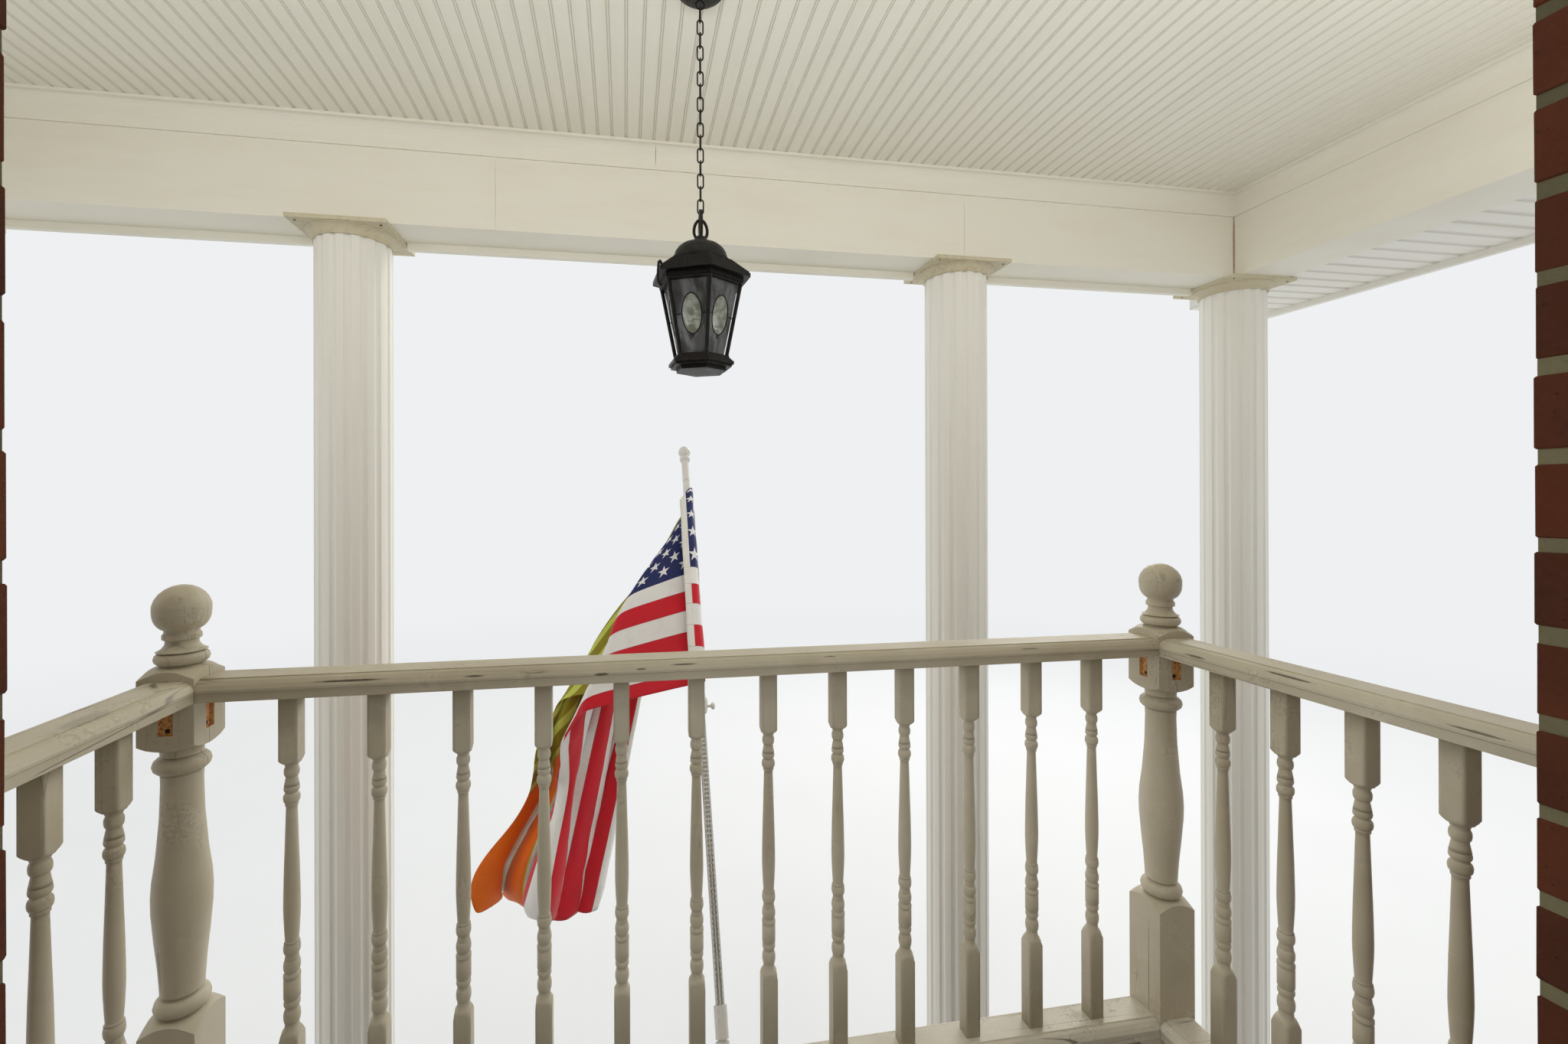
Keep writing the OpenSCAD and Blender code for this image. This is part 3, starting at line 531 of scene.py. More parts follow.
rail_marks = [((0.683, RAIL_FACE, 3.727), (0.075, 0.012, 0.0022), 0.85, GOUGE),
              ((0.476, RAIL_FACE, 3.725), (0.022, 0.012, 0.0020), 0.85, GOUGE),
              ((0.252, RAIL_FACE, 3.718), (0.016, 0.012, 0.0034), 0.8, GOUGE),
              ((0.100, RAIL_FACE, 3.729), (0.034, 0.012, 0.0018), 0.85, GOUGE),
              ((0.18, RAIL_FACE, 3.724), (0.012, 0.012, 0.0022), 0.7, GOUGE),
              ((-0.19, RAIL_FACE, 3.731), (0.020, 0.012, 0.0016), 0.8, GOUGE),
              ((-0.62, RAIL_FACE, 3.729), (0.030, 0.012, 0.0015), 0.6, GOUGE)]
side_marks = [((-SIDE_FACE, 0.42, 3.722), (0.02, 0.03, 0.003), 0.7, GOUGE),
              ((-SIDE_FACE, 0.60, 3.730), (0.02, 0.05, 0.002), 0.8, GOUGE),
              ((-SIDE_FACE, 0.86, 3.724), (0.02, 0.04, 0.002), 0.7, GOUGE),
              ((NEWEL_X - 0.02, 0.52, 3.738), (0.02, 0.05, 0.004), 0.4, SMUDGE)]

beam_paint = trim_paint("beam_paint", (234, 231, 217), 0.18, 0.5, (0.15, 0.15, 1.0), marks=beam_marks)
ceiling_paint = trim_paint("ceiling_paint", (236, 233, 220), 0.14, 0.42, (1.0, 0.08, 1.0), above=CEILING_Z)
soffit_paint = trim_paint("soffit_paint", (236, 234, 226), 0.16, 0.45, (0.1, 1.0, 1.0), above=BEAM_Z,
                          groove_shade=0.15)
column_paint = trim_paint("column_paint", (236, 234, 225), 0.08, 0.5, (3.0, 3.0, 0.12))
eave_paint = trim_paint("eave_paint", (236, 234, 226), 0.16, 0.45, (1.0, 0.1, 1.0))
cap_paint = trim_paint("cap_paint", (204, 195, 168), 0.9, 0.6, (4.0, 4.0, 4.0), 0.8)
# The rails' colours are darker and yellower than their off-white paint, partly for dirt and partly as painted
# shade. The front rail's is a little darker for the shade on its face, the side rails' paler for the light on
# their tops, and the bottom rails' palest for the sun on them.
post_paint = rail_paint("post_paint", (204, 196, 174), "Z", post_marks, True, 0.25)
front_rail_paint = rail_paint("front_rail_paint", (198, 189, 166), "X", rail_marks)
side_rail_paint = rail_paint("side_rail_paint", (206, 199, 178), "Y", side_marks)
low_rail_paint = rail_paint("low_rail_paint", (222, 217, 202), "X")

dress(beam_paint, "beam_front", "beam_left", "beam_right", "frieze", "cove_trim")
dress(ceiling_paint, "ceiling")
dress(soffit_paint, "soffits")
dress(eave_paint, "fascias", "rake_boards", "eave_returns", "tympanum", "entry_frame",
      "balcony_door_frame", "balcony_frame")
smooth_copies(column_paint, "trim_white", "column_bases", "column_shaft_1", "column_shaft_2",
              "column_shaft_3", "column_shaft_4")
smooth_copies(cap_paint, "trim_white", "column_caps")
smooth_copies(post_paint, "rail_paint", "newel_left", "newel_right", reshape=fuller_ball)
smooth_copies(front_rail_paint, "rail_paint", "handrail_front", corner=0.0012, limit=13)
smooth_copies(side_rail_paint, "rail_paint", "side_handrails", corner=0.0012, limit=13)
smooth_copies(low_rail_paint, "rail_paint", "bottom_rail_front", "side_bottom_rails", corner=0.0012, limit=13)


# Balusters: square ends, and beads and a long vase turned between them
BAL_W, BAL_FRONT, BAL_SIDE = 0.030, 12, 6
BAL_FOOT = DECK_Z + LOW_RAIL_UP + LOW_RAIL_H
TURNED_STEPS = 32
# Radii under this one are turned. They are a little fuller than drawn, from the thinnest up, in millimetres
TURNED_UNDER, THINNEST, THINNEST_MADE, FULLER = 14, 8.7, 8.9, 1.26


def swell_points(middle, half, outer, inner):
    """A rounded bead on the profile, from its upper edge down to its lower one."""
    return [(inner + (outer - inner) * math.cos(turn), middle + half * math.sin(turn))
            for turn in [math.radians(88 - 22 * step) for step in range(9)]]


def baluster_profile():
    """Radius and height from the top down, in millimetres."""
    return ([(22, 784), (22, 668), (19, 664.5), (15, 661), (10.4, 660), (10.2, 656)]
            + swell_points(645, 8.5, 11.2, 9.0) + [(9.1, 634), (10.2, 626), (11.0, 620)]
            + swell_points(615, 6, 11.4, 9.3) + swell_points(598, 8, 12.1, 9.6)
            + [(9.9, 588), (9.8, 585), (8.7, 584), (8.7, 578), (9.3, 552), (10.1, 515), (11.2, 470),
               (11.9, 428), (12.1, 405), (11.8, 388), (10.9, 363), (10.1, 347), (10.2, 344), (11.4, 342)]
            + swell_points(332, 10, 12.2, 9.9) + [(9.8, 320), (10.6, 312)] + swell_points(301, 10, 12.2, 10.2)
            + [(10.4, 288), (12.3, 286), (12.3, 280.5), (10.9, 279), (10.9, 277), (12.1, 275.5), (12.1, 244),
               (10.6, 242), (10.6, 240)]
            + swell_points(235, 5, 11.9, 10.6) + [(10.2, 227)] + swell_points(212, 11, 12.2, 10.2)
            + [(10.0, 199), (10.6, 197), (10.6, 188.5), (15, 187), (18, 181), (22, 173), (22, 0)])


def one_baluster():
    shape = bmesh.new()
    rings = []
    for radius, height in baluster_profile():
        if radius < TURNED_UNDER:
            radius = THINNEST_MADE + (radius - THINNEST) * FULLER
        ring = []
        for turn in round_steps(TURNED_STEPS):
            x, y = math.cos(turn), math.sin(turn)
            reach = min(radius / 1000, BAL_W / 2 / max(abs(x), abs(y)))
            ring.append(shape.verts.new((reach * x, reach * y, height / 1000)))
        rings.append(ring)
    skin(shape, rings)
    for face in shape.faces:
        face.smooth = True
    for edge in shape.edges:
        edge.smooth = edge.calc_face_angle() < math.radians(48)
    return template("one_baluster", shape)


def even_row(start, end, count):
    """Middles of balusters that stand evenly between two faces."""
    gap = (end - start - count * BAL_W) / (count + 1)
    return [start + gap * (index + 1) + BAL_W * (index + 0.5) for index in range(count)]


def balusters(laid):
    post = one_baluster()
    reach, house = NEWEL_X - NEWEL_W / 2, NEWEL_Y + NEWEL_W / 2
    front = [spot((x, NEWEL_Y, BAL_FOOT)) for x in even_row(-reach, reach, BAL_FRONT)]
    side = [spot((x, y, BAL_FOOT)) for x in (-NEWEL_X, NEWEL_X)
            for y in reversed(even_row(house, WALL_Y, BAL_SIDE))]
    for name, node, rows, seed in (("turned_balusters_front", "balusters_front", front, 1),
                                   ("turned_balusters_side", "side_balusters", side, 2)):
        laid.lay(name, spots(name, rows), "rail_paint", post_paint, Piece=post, Wobble=0.0, Seed=seed,
                 stands_for=(node,))
    bpy.data.objects.remove(post)


def concrete_finish():
    """Broomed concrete of the ground slab."""
    concrete = Finish("porch_concrete", Specular_IOR_Level=0.25)
    broad = concrete.cloud(1.3, 4.0)
    sand = concrete.cloud(240.0, 3.0, 0.7)
    broom = concrete.cloud(1.0, 2.0, 0.5, concrete.stretched(4.0, 160.0, 4.0))
    shade = concrete.blend(broad, tint(170, 166, 156), tint(140, 136, 126))
    shade = concrete.blend(concrete.ease(sand, 0.5, 0.8) * 0.5, shade, tint(96, 92, 86))
    return concrete.set(Base_Color=shade, Roughness=concrete.ease(sand, 0.2, 0.8, 0.75, 0.92),
                        Normal=concrete.relief(broom * 0.7 + sand * 0.3, 0.0016, 0.7))


def deck_finish():
    """Weathered boards of the balcony."""
    wood = Finish("deck_wood", Specular_IOR_Level=0.3)
    board = wood.ease(wood.part("Y") / BOARD_PITCH % 1.0, 0.0, 1.0)
    grain = wood.cloud(1.0, 5.0, 0.65, wood.stretched(3.0, 70.0, 70.0), 0.8)
    broad = wood.cloud(2.0, 3.0)
    shade = wood.blend(wood.ease(grain, 0.3, 0.7), tint(142, 130, 111), tint(99, 88, 73))
    shade = wood.blend(broad * 0.5, shade, tint(158, 150, 134))
    return wood.set(Base_Color=shade, Roughness=wood.ease(grain + board * 0.1, 0.2, 0.8, 0.6, 0.85),
                    Normal=wood.relief(grain, 0.002, 0.7))


dress(concrete_finish(), "porch_slab")
dress(deck_finish(), "balcony_boards")


def bronze_finish():
    """Dark bronze of the lantern, its chain and its hook."""
    bronze = Finish("dark_bronze", Specular_IOR_Level=0.5)
    broad = bronze.cloud(9.0, 4.0)
    speckle = bronze.cloud(150.0, 3.0, 0.7)
    shade = bronze.blend(bronze.ease(broad, 0.4, 0.7), tint(19, 18, 17), tint(29, 26, 24))
    shade = bronze.blend(bronze.ease(speckle, 0.64, 0.76) * 0.4, shade, tint(60, 52, 44))
    return bronze.set(Base_Color=shade, Metallic=bronze.ease(speckle, 0.3, 0.7, 0.25, 0.55),
                      Roughness=bronze.ease(broad * 0.5 + speckle * 0.5, 0.3, 0.7, 0.36, 0.58),
                      Normal=bronze.relief(speckle, 0.0004, 0.6))


dark_bronze = bronze_finish()
smooth_copies(dark_bronze, "dark_metal", "lantern_canopy", "lantern_chain", "lantern_roof", "lantern_cage")


# Small fasteners: pan-head screws in the cap plates and in the balcony boards
SCREW_W, SCREW_RISE, SCREW_INSET = 0.009, 0.0018, 0.024
CAP_UNDER = BEAM_Z - 0.0138
JOISTS, BOARD_COUNT, BOARD_SCREWS = (-1.0, -0.5, 0.0, 0.5, 1.0), 7, (0.025, 0.112)


def screw_head():
    shape = bmesh.new()
    bmesh.ops.create_uvsphere(shape, u_segments=10, v_segments=6, radius=SCREW_W / 2)
    bmesh.ops.scale(shape, vec=(1, 1, 2 * SCREW_RISE / SCREW_W), verts=shape.verts)
    return template("one_screw", shape)


def screws(laid, rust):
    head = screw_head()
    corner = CAP_W / 2 - SCREW_INSET
    caps = [spot((x + across * corner, COL_Y + along * corner, CAP_UNDER))
            for x in (-MID_BAY / 2 - SIDE_BAY, -MID_BAY / 2, MID_BAY / 2, MID_BAY / 2 + SIDE_BAY)
            for across in (-1, 1) for along in (-1, 1)]
    laid.lay("cap_screws", spots("cap_screws", caps), "dark_metal", rust, Piece=head, Wobble=0.003, Seed=11)
    boards = [spot((joist, WALL_Y - BOARD_PITCH * board - inset, DECK_Z + 0.0002), (0.9, 0.9, 0.7))
              for joist in JOISTS for board in range(BOARD_COUNT) for inset in BOARD_SCREWS
              if WALL_Y - BOARD_PITCH * board - inset > DECK_FRONT + 0.02]
    laid.lay("board_screws", spots("board_screws", boards), "dark_metal", rust, Piece=head, Wobble=0.002,
             Seed=12)
    bpy.data.objects.remove(head)


# Lantern: hexagonal, one corner turned towards the house
LANTERN_TURN = math.radians(90 + 5.3)
PANE_LOW, PANE_HIGH = LANTERN_TOP - 0.3035, LANTERN_TOP - 0.122
PANE_LOW_R, PANE_HIGH_R = 0.06275, 0.1019
# The clear oval of a pane: half width in metres, half height and middle as shares of the pane's height
OVAL_W, OVAL_H, OVAL_UP = 0.026, 0.27, 0.535
LEADING_OUT = 0.0006


def pane_reach(up):
    return PANE_LOW_R + (PANE_HIGH_R - PANE_LOW_R) * up


def on_pane(pane, across, up):
    """A place just out from a pane: sideways in metres, and up from 0 to 1."""
    angle = LANTERN_TURN + math.radians(60 * pane + 30)
    away = math.cos(math.radians(30)) * pane_reach(up) + LEADING_OUT
    return (LANTERN_X + away * math.cos(angle) - across * math.sin(angle),
            LANTERN_Y + away * math.sin(angle) + across * math.cos(angle),
            PANE_LOW + (PANE_HIGH - PANE_LOW) * up)


def lines_mesh(name, lines):
    """A mesh of edges: each line is its places and whether it closes."""
    places, edges = [], []
    for line, closed in lines:
        start = len(places)
        places += line
        edges += [(start + index, start + index + 1) for index in range(len(line) - 1)]
        if closed:
            edges.append((start + len(line) - 1, start))
    mesh = bpy.data.meshes.new(name)
    mesh.from_pydata(places, edges, [])
    return mesh


def pane_leading():
    """The leading of every pane: an oval, a bar to each side and one below."""
    lines = []
    reach = 0.5 * pane_reach(OVAL_UP) - 0.001
    foot = OVAL_UP - OVAL_H
    for pane in range(6):
        oval = [on_pane(pane, OVAL_W * math.cos(turn), OVAL_UP + OVAL_H * math.sin(turn))
                for turn in round_steps(36)]
        lines.append((oval, True))
        for side in (-1, 1):
            bar = [on_pane(pane, side * OVAL_W, OVAL_UP), on_pane(pane, side * reach, OVAL_UP)]
            lines.append((bar, False))
        lines.append(([on_pane(pane, 0, foot), on_pane(pane, 0, foot - 0.05)], False))
    return lines


def hanging_loop():
    """A second loop that stands across the cast one."""
    low, high, half_w, taper = LANTERN_TOP + 0.004, LANTERN_TOP + 0.058, 0.0175, 0.002
    ring = [(LANTERN_X + (half_w - taper * math.sin(turn)) * math.cos(turn), LANTERN_Y,
             (low + high) / 2 + (high - low) / 2 * math.sin(turn)) for turn in round_steps(28)]
    return [(ring, True)]


def corner_latch():
    """A small cast latch that curls out from one corner of the roof."""
    corner = LANTERN_TURN + math.radians(300)
    outwards = Vector((math.cos(corner), math.sin(corner), 0))
    foot = Vector((LANTERN_X, LANTERN_Y, LANTERN_TOP - 0.101))
    curl = ((0.128, 0.004), (0.131, 0.013), (0.135, 0.018), (0.139, 0.014), (0.1405, 0.003),
            (0.1415, -0.010), (0.142, -0.024), (0.140, -0.036), (0.135, -0.042), (0.1305, -0.039))
    return [([foot + outwards * away + Vector((0, 0, up)) for away, up in curl], False)]


def lantern_details(wire, bronze):
    for name, lines, radius, sides in (("pane_leading", pane_leading(), 0.0013, 8),
                                       ("hanging_loop", hanging_loop(), 0.0040, 12),
                                       ("corner_latch", corner_latch(), 0.0034, 10)):
        wire.lay(name, lines_mesh(name, lines), "dark_metal", bronze, "lantern", outward=True, Radius=radius,
                 Sides=sides)


def pane_finish():
    """Smoky glass with a clearer oval in the middle of each pane."""
    pane = Finish("seeded_glass", Roughness=0.08, Specular_IOR_Level=0.5)
    x, y, z = pane.part("X") - LANTERN_X, pane.part("Y") - LANTERN_Y, pane.part("Z")
    sixth = math.pi / 3
    turn = (pane.sum("ARCTAN2", y, x) - LANTERN_TURN + 4 * math.pi) % sixth - sixth / 2
    across = pane.sum("SQRT", x * x + y * y) * pane.sum("SINE", turn) / OVAL_W
    up = ((z - PANE_LOW) / (PANE_HIGH - PANE_LOW) - OVAL_UP) / OVAL_H
    clear = pane.ease(across * across + up * up, 1.0, 0.9)
    streaks = pane.cloud(24.0, 4.0, 0.6, pane.stretched(1.0, 1.0, 0.3), 0.8)
    ripple = pane.cloud(48.0, 3.0, 0.5, None, 1.2)
    seeds = pane.ease(pane.cells(230.0), 0.16, 0.05) * pane.ease(pane.cloud(40.0), 0.5, 0.6)
    smoke = pane.blend(pane.ease(streaks, 0.4, 0.65), tint(62, 62, 60), tint(120, 122, 122))
    greenish = pane.blend(pane.ease(ripple, 0.4, 0.6), tint(118, 124, 104), tint(196, 200, 188))
    thick = pane.ease(streaks, 0.35, 0.7, 0.80, 0.52) * (1 - clear)
    thin = pane.ease(ripple, 0.35, 0.65, 0.62, 0.30) * clear
    return pane.set(Base_Color=pane.blend(clear, smoke, greenish),
                    Alpha=pane.sum("MINIMUM", thick + thin + seeds * 0.15, 0.9),
                    Normal=pane.relief(ripple + seeds * 0.3, 0.003, 0.8))


def bulb_finish():
    """A frosted bulb over a dark candle sleeve."""
    bulb = Finish("frosted_bulb", Roughness=0.35, Specular_IOR_Level=0.5)
    z = bulb.part("Z")
    glass = bulb.ease(z, PANE_LOW + 0.074, PANE_LOW + 0.078)
    drips = bulb.cloud(60.0, 3.0, 0.6, bulb.stretched(1.0, 1.0, 0.2))
    sleeve = bulb.blend(drips, tint(58, 53, 50), tint(74, 68, 64))
    upper = bulb.ease(z, PANE_LOW + 0.08, PANE_LOW + 0.16)
    frost = bulb.blend(upper, tint(168, 166, 156), tint(118, 116, 110))
    return bulb.set(Base_Color=bulb.blend(glass, sleeve, frost), Normal=bulb.relief(drips, 0.0008, 0.5))


def along_pole_reading(finish):
    """How far a place is along the pole, in metres from its foot."""
    away = finish.vector("SUBTRACT", finish.here, tuple(POLE_FOOT))
    return finish.vector("DOT_PRODUCT", away, tuple(POLE_AXIS), "Value")


def pole_finish():
    """A ribbed metal tube from the bracket to the joint, and a white one over it."""
    pole = Finish("pole_tubes", Specular_IOR_Level=0.5)
    along = along_pole_reading(pole)
    scuff = pole.ease(pole.cloud(60.0, 5.0, 0.65), 0.56, 0.72)
    under_joint = pole.ease(along, POLE_JOINT - 0.017, POLE_JOINT - 0.0165, 1.0, 0.0)
    metal = under_joint * pole.ease(along, 0.156, 0.1565)
    rib = (along / 0.011) % 1.0
    ribs = pole.ease(rib, 0.0, 0.5) - pole.ease(rib, 0.5, 1.0)
    brushed = pole.cloud(1.0, 3.0, 0.6, pole.stretched(400.0, 60.0, 60.0))
    white = pole.blend(scuff * 0.5, tint(226, 224, 220), tint(178, 172, 160))
    shade = pole.blend(metal, white, pole.blend(brushed, tint(168, 166, 160), tint(204, 202, 196)))
    return pole.set(Base_Color=shade, Metallic=metal * 0.85,
                    Roughness=pole.ease(scuff * 0.6 + brushed * 0.4, 0.2, 0.8, 0.32, 0.52),
                    Normal=pole.relief(ribs * metal * 0.8 + scuff * 0.2, 0.0012, 0.7))


def plastic_finish():
    plastic = Finish("white_plastic", Roughness=0.42, Specular_IOR_Level=0.45)
    grain = plastic.cloud(300.0, 2.0)
    soil = plastic.ease(plastic.cloud(18.0, 4.0, 0.6), 0.5, 0.75)
    return plastic.set(Base_Color=plastic.blend(soil * 0.6, tint(226, 225, 220), tint(186, 180, 166)),
                       Normal=plastic.relief(grain, 0.0003, 0.5))


def turned(name, profile, place, along):
    """A closed turned piece: (radius, distance) pairs along an axis."""
    turn = Vector(along).to_track_quat("Z", "Y").to_matrix().to_4x4()
    shape = bmesh.new()
    rings = []
    for radius, away in profile:
        ring = bmesh.ops.create_circle(shape, segments=TURNED_STEPS, radius=radius)["verts"]
        bmesh.ops.translate(shape, vec=(0, 0, away), verts=ring)
        rings.append(ring)
    skin(shape, rings)
    bmesh.ops.transform(shape, matrix=Matrix.Translation(place) @ turn, verts=shape.verts)
    mesh = solid_mesh(name, shape)
    mesh.shade_smooth()
    mesh.set_sharp_from_angle(angle=math.radians(40))
    return mesh


def pole_clutch(plastic):
    """The collar that locks the two tubes, and the knob of its thumb screw."""
    foot = POLE_FOOT + POLE_AXIS * (POLE_JOINT - 0.024)
    collar = [(0.0108, 0.0), (0.0150, 0.001), (0.0172, 0.006), (0.0193, 0.020), (0.0205, 0.032),
              (0.0190, 0.042), (0.0150, 0.048), (0.0140, 0.056), (0.0127, 0.058)]
    add_piece("pole_collar", turned("pole_collar", collar, foot, POLE_AXIS), plastic)
    knob = [(0.0036, 0.014), (0.0036, 0.0265), (0.0052, 0.029), (0.0088, 0.031), (0.0098, 0.034),
            (0.0092, 0.0375), (0.0060, 0.0395)]
    middle = foot + POLE_AXIS * 0.020
    add_piece("pole_knob", turned("pole_knob", knob, middle, (-1, 0, 0)), plastic)


def rust_finish():
    rust = Finish("rusty_steel", Specular_IOR_Level=0.4)
    bloom = rust.cloud(240.0, 4.0, 0.7)
    return rust.set(Base_Color=rust.blend(rust.ease(bloom, 0.35, 0.65), tint(74, 50, 36), tint(120, 84, 54)),
                    Metallic=rust.ease(bloom, 0.4, 0.7, 0.5, 0.1),
                    Roughness=rust.ease(bloom, 0.3, 0.7, 0.5, 0.8), Normal=rust.relief(bloom, 0.0006, 0.7))


# Flags: cloth with its sleeve round the pole, carried back past it and folded once
POLE_TIP = POLE_LEN + 0.043
HOIST, FLY = 0.762, 1.219
FLAG_ROWS, FLAG_COLUMNS = 40, 64
EASE_PASSES, FALL_FRAMES = 6, 36
SLEEVE_HELD, UPPER_HELD, FALL_HELD = 1.0, 0.5, 0.06
GRAVITY, BREEZE = 9.81, (0.3, 0.1)


def through(stops, at):
    """The place at a share of a smooth curve through (share, place) stops."""
    index = 0
    while index < len(stops) - 2 and at > stops[index + 1][0]:
        index += 1
    start, end = stops[index], stops[index + 1]
    before, after = stops[max(index - 1, 0)][1], stops[min(index + 2, len(stops) - 1)][1]
    p0, p1, p2, p3 = [Vector(place) for place in (before, start[1], end[1], after)]
    t = (at - start[0]) / (end[0] - start[0])
    return 0.5 * (2 * p1 + (p2 - p0) * t + (2 * p0 - 5 * p1 + 4 * p2 - p3) * t * t
                  + (3 * p1 - p0 - 3 * p2 + p3) * t ** 3)


def flag_guide(hoist_at, sleeve, wrap, loose, droop, fold, fall, waves, swell, lean, sideways, calm):
    """Where the cloth starts, and how firmly each point is held: sleeve, upper layer, falling layer.

    Down the hoist, hoist_at is the distance from the pole's tip, fold is the crease where the cloth turns
    down, and fall is its lower edge. The sleeve wraps the pole between two angles, with a loose strip before
    them and a droop at its top corner. Waves, swell, sideways and calm shape the folds, and lean pushes the
    falling layer to the front.
    """
    arc = loose + sleeve * (wrap[1] - wrap[0])
    grid, hold = [], []
    for row in range(FLAG_ROWS + 1):
        v = row / FLAG_ROWS
        base = POLE_FOOT + POLE_AXIS * (POLE_TIP - through(hoist_at, v).x)
        slant = droop * (1 - v) ** 5
        around = sleeve + 0.002 * math.sin(18 * v) + 0.003 * noise.noise(Vector((v * 9, 3.1, 7)))

        def round_pole(angle):
            return base + POLE_OVER * (around * math.cos(angle)) - Vector((around * math.sin(angle), 0, 0))

        leave = round_pole(wrap[1]) - POLE_AXIS * slant
        crease, end = through(fold, v), through(fall, v)
        upper = (crease - leave).length
        spare = max(0, (FLY - arc - upper) / (end - crease).length - 1)
        for column in range(FLAG_COLUMNS + 1):
            along = FLY * column / FLAG_COLUMNS
            if along <= arc:
                place = round_pole(wrap[0] + max(0, along - loose) / sleeve)
                place = place + Vector((1, 0.12, 0)) * max(0, loose - along)
                place = place + POLE_AXIS * slant * (1.08 * math.sin(math.pi * along / arc) - 1)
                firm = SLEEVE_HELD
            elif along <= arc + upper:
                place = leave.lerp(crease, (along - arc) / upper)
                firm = UPPER_HELD
            else:
                t = (along - arc - upper) / (FLY - arc - upper)
                swing = 2 * math.pi * waves * v
                grown = t ** 0.8 * (1 - calm * v)
                place = crease.lerp(end, t)
                place = place - Vector((sideways * swell * grown * math.sin(swing), 0, 0))
                place = place - Vector((0, 0.08 * swell * grown * math.cos(swing) + lean * min(1, t * 6), 0))
                wide = (end - crease).length / (3 * math.pi) * math.sqrt(4 * spare)
                billow = 0.9 * wide * math.sin(3 * math.pi * t) * min(1, t * 4)
                place = place + Vector((0.35, 0.93, 0)) * billow
                place = place - Vector((0, 0.015 * grown * math.sin(10 * math.pi * v + 2 * t), 0))
                firm = FALL_HELD
            grid.append(place)
            hold.append(firm)
    width = FLAG_COLUMNS + 1
    for _ in range(EASE_PASSES):
        eased = [place.copy() for place in grid]
        for row in range(FLAG_ROWS + 1):
            for column in range(1, FLAG_COLUMNS):
                at = row * width + column
                eased[at] = grid[at] * 0.5 + (grid[at - 1] + grid[at + 1]) * 0.25
        again = [place.copy() for place in eased]
        for at in range(width, FLAG_ROWS * width):
            again[at] = eased[at] * 0.5 + (eased[at - width] + eased[at + width]) * 0.25
        grid = [place if firm == SLEEVE_HELD else soft for place, soft, firm in zip(grid, again, hold)]
    return grid, hold


NYLON = {"quality": 8, "mass": 0.05, "tension_stiffness": 25, "compression_stiffness": 25,
         "shear_stiffness": 8, "bending_stiffness": 0.5, "tension_damping": 10, "compression_damping": 10,
         "shear_damping": 10, "bending_damping": 1, "air_damping": 2, "vertex_group_mass": "pinned",
         "pin_stiffness": 1.0}


def settled_places(name, grid, hold, faces):
    """Where each point of the cloth comes to rest when it falls from its guide."""
    mesh = bpy.data.meshes.new(name)
    mesh.from_pydata([tuple(place) for place in grid], [], faces)
    cloth = bpy.data.objects.new(name, mesh)
    scene.collection.objects.link(cloth)
    pinned = cloth.vertex_groups.new(name="pinned")
    for index, firm in enumerate(hold):
        pinned.add([index], firm, "REPLACE")
    cloth.shape_key_add(name="Basis")
    flat = cloth.shape_key_add(name="flat")
    for index in range(len(grid)):
        row, column = divmod(index, FLAG_COLUMNS + 1)
        flat.data[index].co = (FLY * column / FLAG_COLUMNS, 0, -HOIST * row / FLAG_ROWS)
    fall = cloth.modifiers.new("fall", "CLOTH")
    fall.settings.rest_shape_key = flat
    for setting, value in NYLON.items():
        setattr(fall.settings, setting, value)
    fall.collision_settings.use_self_collision = False
    fall.point_cache.frame_start, fall.point_cache.frame_end = 1, FALL_FRAMES
    scene.gravity = (GRAVITY * BREEZE[0], GRAVITY * BREEZE[1], -GRAVITY)
    for frame_number in range(1, FALL_FRAMES + 1):
        scene.frame_set(frame_number)
    settled = cloth.evaluated_get(bpy.context.evaluated_depsgraph_get())
    places = [tuple(vertex.co) for vertex in settled.data.vertices]
    bpy.data.objects.remove(cloth)
    scene.frame_set(1)
    scene.gravity = (0, 0, -GRAVITY)
    return places


def hung_flag(name, node, finish, guide):
    """A flag in the shape that it settles in, with its own flat coordinates."""
    grid, hold = guide
    width = FLAG_COLUMNS + 1
    faces = [(row * width + column, row * width + column + 1, (row + 1) * width + column + 1,
              (row + 1) * width + column) for row in range(FLAG_ROWS) for column in range(FLAG_COLUMNS)]
    places = settled_places(name, grid, hold, faces)
    mesh = bpy.data.meshes.new(name)
    mesh.from_pydata(places, [], faces)
    mesh.shade_smooth()
    cut = mesh.uv_layers.new(name="cut")
    for loop in mesh.loops:
        row, column = divmod(loop.vertex_index, width)
        cut.data[loop.index].uv = (column / FLAG_COLUMNS, row / FLAG_ROWS)
    flag = add_piece(name, mesh, finish, "porch", (node,))
    finer = flag.modifiers.new("finer", "SUBSURF")
    finer.levels = finer.render_levels = 1
    thick = flag.modifiers.new("thick", "SOLIDIFY")
    thick.thickness = 0.0008
    thick.offset = 0.0


